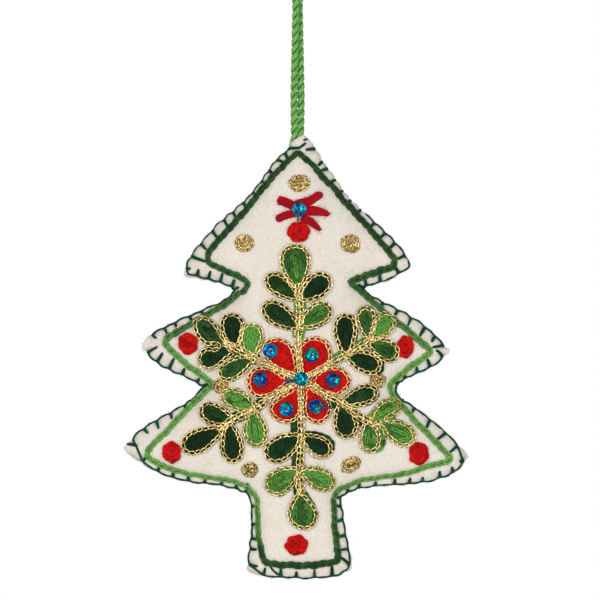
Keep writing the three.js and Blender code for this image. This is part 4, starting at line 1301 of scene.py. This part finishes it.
def spiral(wide, high, pitch, edge, corners=0.0):
    """A line that winds out from a dot's centre, with six soft corners."""
    turns = max((min(wide, high) - edge) / pitch, 0.6) + 0.5
    angle = np.linspace(0, 2 * math.pi * turns, int(40 * turns))
    share = np.minimum(0.12 + 0.88 * angle / (angle[-1] - 4.5), 1)
    share *= 1 + corners * np.cos(6 * angle + draw.uniform(0, 6)) + 0.5 * corners * np.cos(2 * angle)
    size = np.array([wide - edge, high - edge])
    return share[:, None] * size * np.column_stack([np.cos(angle), np.sin(angle)])


def oval(wide, high):
    """The patch under a dot."""
    angle = full_turn(28)
    return np.column_stack([wide * np.cos(angle), high * np.sin(angle)])


for name, (centre, wide, high) in RED_DOTS.items():
    net = Net()
    # The patch under the spiral is a dark red: painted shade in the gaps between the loops.
    pad(net, centre + oval(wide - 0.6, high - 0.6), 0.1, 0.5, 0.1)
    chain(net, centre + spiral(wide, high, 1.2, 0.58, 0.07), **RED_CHAIN)
    fuzz(net, DOT_FUZZ)
    finished(net.piece(f"wool_dot_{name}", RED_WOOL), "red_wool", f"red_dot_{name}")
for name, (centre, wide, high, *turn) in GOLD_DOTS.items():
    tilt = turn[0] if turn else 0.0
    net = Net()
    # The patch under the spirals has a stored shade of 0: painted shade, dark gold in the gaps between the
    # loops.
    pad(net, turned(oval(wide - 0.5, high - 0.5), centre, tilt), 0.05, 0.25, 0.0)
    chain(net, turned(spiral(wide, high, 0.85, 0.5, 0.05), centre, tilt), **LOW_GOLD)
    chain(net, turned(spiral(wide - 0.4, high - 0.4, 1.1, 0.4), centre, tilt + math.pi), **HIGH_GOLD)
    finished(net.piece(f"gold_knot_{name}", GOLD), "gold_thread", f"gold_dot_{name}")

# Star of long stitches
ARM_STRANDS = 5
ARM_YARN = 0.3
ARM_STEPS = 12
STAR_FUZZ = 800


def satin(net, root, tip, half, blunt, arch):
    """Long stitches side by side that draw together at their tip."""
    root, tip = np.array(root, float), np.array(tip, float)
    along = unit(tip - root)
    across = np.array([-along[1], along[0]])
    t = np.linspace(0, 1, ARM_STEPS)
    spread = np.interp(t, [0, 0.45, 0.8, 1], [0.8, 1, 0.45 + 0.55 * blunt, blunt])
    for k in np.linspace(-1, 1, ARM_STRANDS):
        end = 1 - 0.05 * draw.random() - 0.05 * k * k
        line = root + (t * end)[:, None] * (tip - root) + (k * half * spread)[:, None] * across
        line[:, 1] -= 4 * arch * t * (1 - t)
        lift = 0.3 + 0.22 * (1 - k * k)
        lifts = np.full(ARM_STEPS, lift)
        lifts[[0, -1]] = -0.3
        lifts[-2] = 0.75 * lift
        tube(net, spline(on_skin(line, lifts), 0.5), ARM_YARN, 7, draw.uniform(0.25, 0.75))


star = Net()
for arm in STAR_ARMS:
    satin(star, *arm)
fuzz(star, STAR_FUZZ, 1.6)
finished(star.piece("star_stitches", STAR_WOOL), "star_wool", "red_star")

# Sequins, faceted cups tied down with thread
BLUE_FILM = [(0.0, 0.2, 0.66), (0.0, 0.38, 0.58), (0.0, 0.5, 0.66), (0.0, 0.26, 0.4), (0.04, 0.66, 0.82)]
GREEN_FILM = [(0.0, 0.44, 0.45), (0.0, 0.56, 0.48), (0.0, 0.78, 0.62), (0.0, 0.28, 0.34)]
SEQUIN_LIFT = {"centre": 1.7, "star": 0.95}
USUAL_LIFT = 1.2
PROFILE = [(0.45, 0.0), (0.8, 0.05), (1.4, 0.24), (1.95, 0.5), (2.0, 0.44), (0.8, -0.03), (0.45, -0.08)]
FACETS, PER_FACET = 8, 4
FACET_RIDGE = 0.1
TIE_RADIUS = 0.19
# A tie thread from the hole over the cup's rim: share of its way, and height above the cup. A short
# one ends in the stitches beside the cup, at a height of its own above the felt.
SHORT_TIE = np.array([[0.05, -0.4], [0.12, 0.15], [0.5, 0.5], [0.9, 0.55]])
SHORT_TIE_FOOT = 0.3
LONG_TIE = np.array([[0.03, -0.4], [0.1, 0.15], [0.3, 0.5], [0.5, 0.6], [0.8, 0.15], [1.0, -0.1]])
LONG_TIE_FROM = 3


def sequin(name, centre, green, lift):
    """A cup with a hole, each facet of its film in one colour."""
    middle, out = on_skin(centre, lift), out_of_skin(centre)
    across = unit(np.cross(out, [0, 0, 1.0]))
    up = np.cross(across, out)
    tilt = draw.uniform(0, 2 * math.pi)
    sides = FACETS * PER_FACET
    points = []
    for radius, height in PROFILE:
        for j in range(sides):
            turn = tilt + 2 * math.pi * j / sides
            ridge = FACET_RIDGE if radius > 1 and j % PER_FACET == 0 else 0.0
            spoke = across * math.cos(turn) + up * math.sin(turn)
            points.append(middle + radius * spoke + out * (height + ridge))
    net = Net()
    net.add(points, ring_faces(len(PROFILE), sides, True))
    obj = net.piece(f"cup_sequin_{name}", SEQUIN, smooth=False)
    tints = {}
    colours = []
    for polygon in obj.data.polygons:
        ring, j = divmod(polygon.index, sides)
        key = (ring, (j + ring % 2 * PER_FACET // 2) // PER_FACET % FACETS)
        if key not in tints:
            tints[key] = srgb(*draw.choice(GREEN_FILM if draw.random() < green else BLUE_FILM))
        colours += [tints[key]] * polygon.loop_total
    tint = obj.data.color_attributes.new("tint", "FLOAT_COLOR", "CORNER")
    tint.data.foreach_set("color", np.array(colours, np.float32).ravel())
    finished(faced_out(obj), "sequin_film", f"sequin_{name}")


def tie(net, centre, end, lift):
    """A thread from a sequin's hole to where it goes down beside it."""
    if np.linalg.norm(end) < LONG_TIE_FROM:
        shares, lifts = np.append(SHORT_TIE[:, 0], 1.0), np.append(lift + SHORT_TIE[:, 1], SHORT_TIE_FOOT)
    else:
        shares, lifts = LONG_TIE[:, 0], lift + LONG_TIE[:, 1]
    path = on_skin(centre + shares[:, None] * end, lifts)
    tube(net, spline(path, 0.25), TIE_RADIUS, 6, draw.uniform(0.2, 0.8))


ties = Net()
for name, (centre, green, ends) in SEQUINS.items():
    lift = SEQUIN_LIFT.get(name, USUAL_LIFT)
    sequin(name, np.array(centre), green, lift)
    for end in ends:
        tie(ties, np.array(centre), np.array(end), lift)
finished(ties.piece("sequin_threads", TIE_THREAD), "sequin_film")

# Loose fibres of the rim thread and of the felt: long ones on its face, short ones round its edge
THREAD_FIBRES = 2600
STRAY_FIBRES = 140
STRAY_LIFTS = np.array([0.1, 0.4, 0.5, 0.5, 0.4, 0.1])
STRAY_INSET = 1.5
EDGE_FIBRES = 900
thread_fibres = Net()
fuzz(stitch_net, THREAD_FIBRES, 0.7, thread_fibres)
finished(thread_fibres.piece("thread_fibres", RIM_WOOL), "rim_thread")

felt_fibres = Net()
face = cells[inside(cells, inset(FRONT_LOOP, STRAY_INSET))]
for spot in face[draws.integers(0, len(face), STRAY_FIBRES)]:
    heading = draws.uniform(0, 2 * math.pi) + draws.normal(0, 0.2, len(STRAY_LIFTS)).cumsum()
    steps = draws.uniform(0.35, 0.8) * np.column_stack([np.cos(heading), np.sin(heading)])
    path = on_skin(spot + steps.cumsum(0), draws.uniform(0.7, 1.1) * STRAY_LIFTS)
    tube(felt_fibres, spline(path, 0.4), draws.uniform(0.02, 0.035), 3)
for facing, rim in ((-1, FRONT_RIM), (1, BACK_RIM)):
    outward = rim - inset(rim, 1.0)
    for i in draws.integers(0, len(rim), EDGE_FIBRES):
        start = np.array([rim[i, 0], facing * draws.uniform(0.1, 0.5), -rim[i, 1]])
        way = np.array([outward[i, 0], 0, -outward[i, 1]]) + draws.normal(0, 0.6, 3)
        way *= draws.uniform(0.2, 0.65) / np.linalg.norm(way)
        hair(felt_fibres, start, way, draws.normal(0, 0.1, 3))
finished(felt_fibres.piece("felt_fibres", FELT_MATERIAL), "cream_felt")

# Stage and light
FLOOR_RADIUS = 0.4
FLOOR_Z = -0.3
FLOOR_SIDES = 64
AMBIENT = 0.36
floor_mesh = bpy.data.meshes.new("floor")
ring = [(FLOOR_RADIUS * math.cos(a), FLOOR_RADIUS * math.sin(a), FLOOR_Z) for a in full_turn(FLOOR_SIDES)]
floor_mesh.from_pydata(ring, [], [list(range(FLOOR_SIDES))])
floor = added("floor", floor_mesh)
paper = Shader("paper", 0.9, specular=0.1)
paper.colour(paper.ramp(paper.noise(60.0, 2.0), (0.3, 0.93, 0.93, 0.93), (0.7, 0.95, 0.95, 0.95)))
floor_mesh.materials.append(paper.material)
floor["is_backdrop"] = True

# The background is white where it is seen or mirrored, and lights the object more softly.
world = bpy.data.worlds.new("studio")
bpy.context.scene.world = world
studio = Nodes(world)
rays = studio.node("ShaderNodeLightPath").outputs
mirrored = studio.math("MAXIMUM", rays["Is Glossy Ray"], rays["Is Transmission Ray"])
seen = studio.math("MAXIMUM", rays["Is Camera Ray"], mirrored)
level = studio.node("ShaderNodeMapRange", Value=seen, To_Min=AMBIENT, To_Max=1.0)
background = studio.tree.nodes["Background"].inputs
studio.put(background["Strength"], level.outputs["Result"])
studio.put(background["Color"], srgb(*WHITE))


def lamp(name, where, size, power, towards=(0, 0, -0.12)):
    """A round soft light that faces the tree."""
    data = bpy.data.lights.new(name, "AREA")
    data.shape, data.size, data.energy = "DISK", size, power
    obj = added(name, data)
    obj.location = where
    obj.rotation_euler = (Vector(towards) - Vector(where)).to_track_quat("-Z", "Y").to_euler()


lamp("key", (-0.35, -1.05, 0.05), 0.8, 6.6)
lamp("fill", (0.55, -0.95, -0.15), 0.6, 3.1)
lamp("back", (0.1, 0.9, 0.6), 0.6, 5.6)

bpy.context.scene.view_settings.view_transform = "Standard"

low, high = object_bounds()
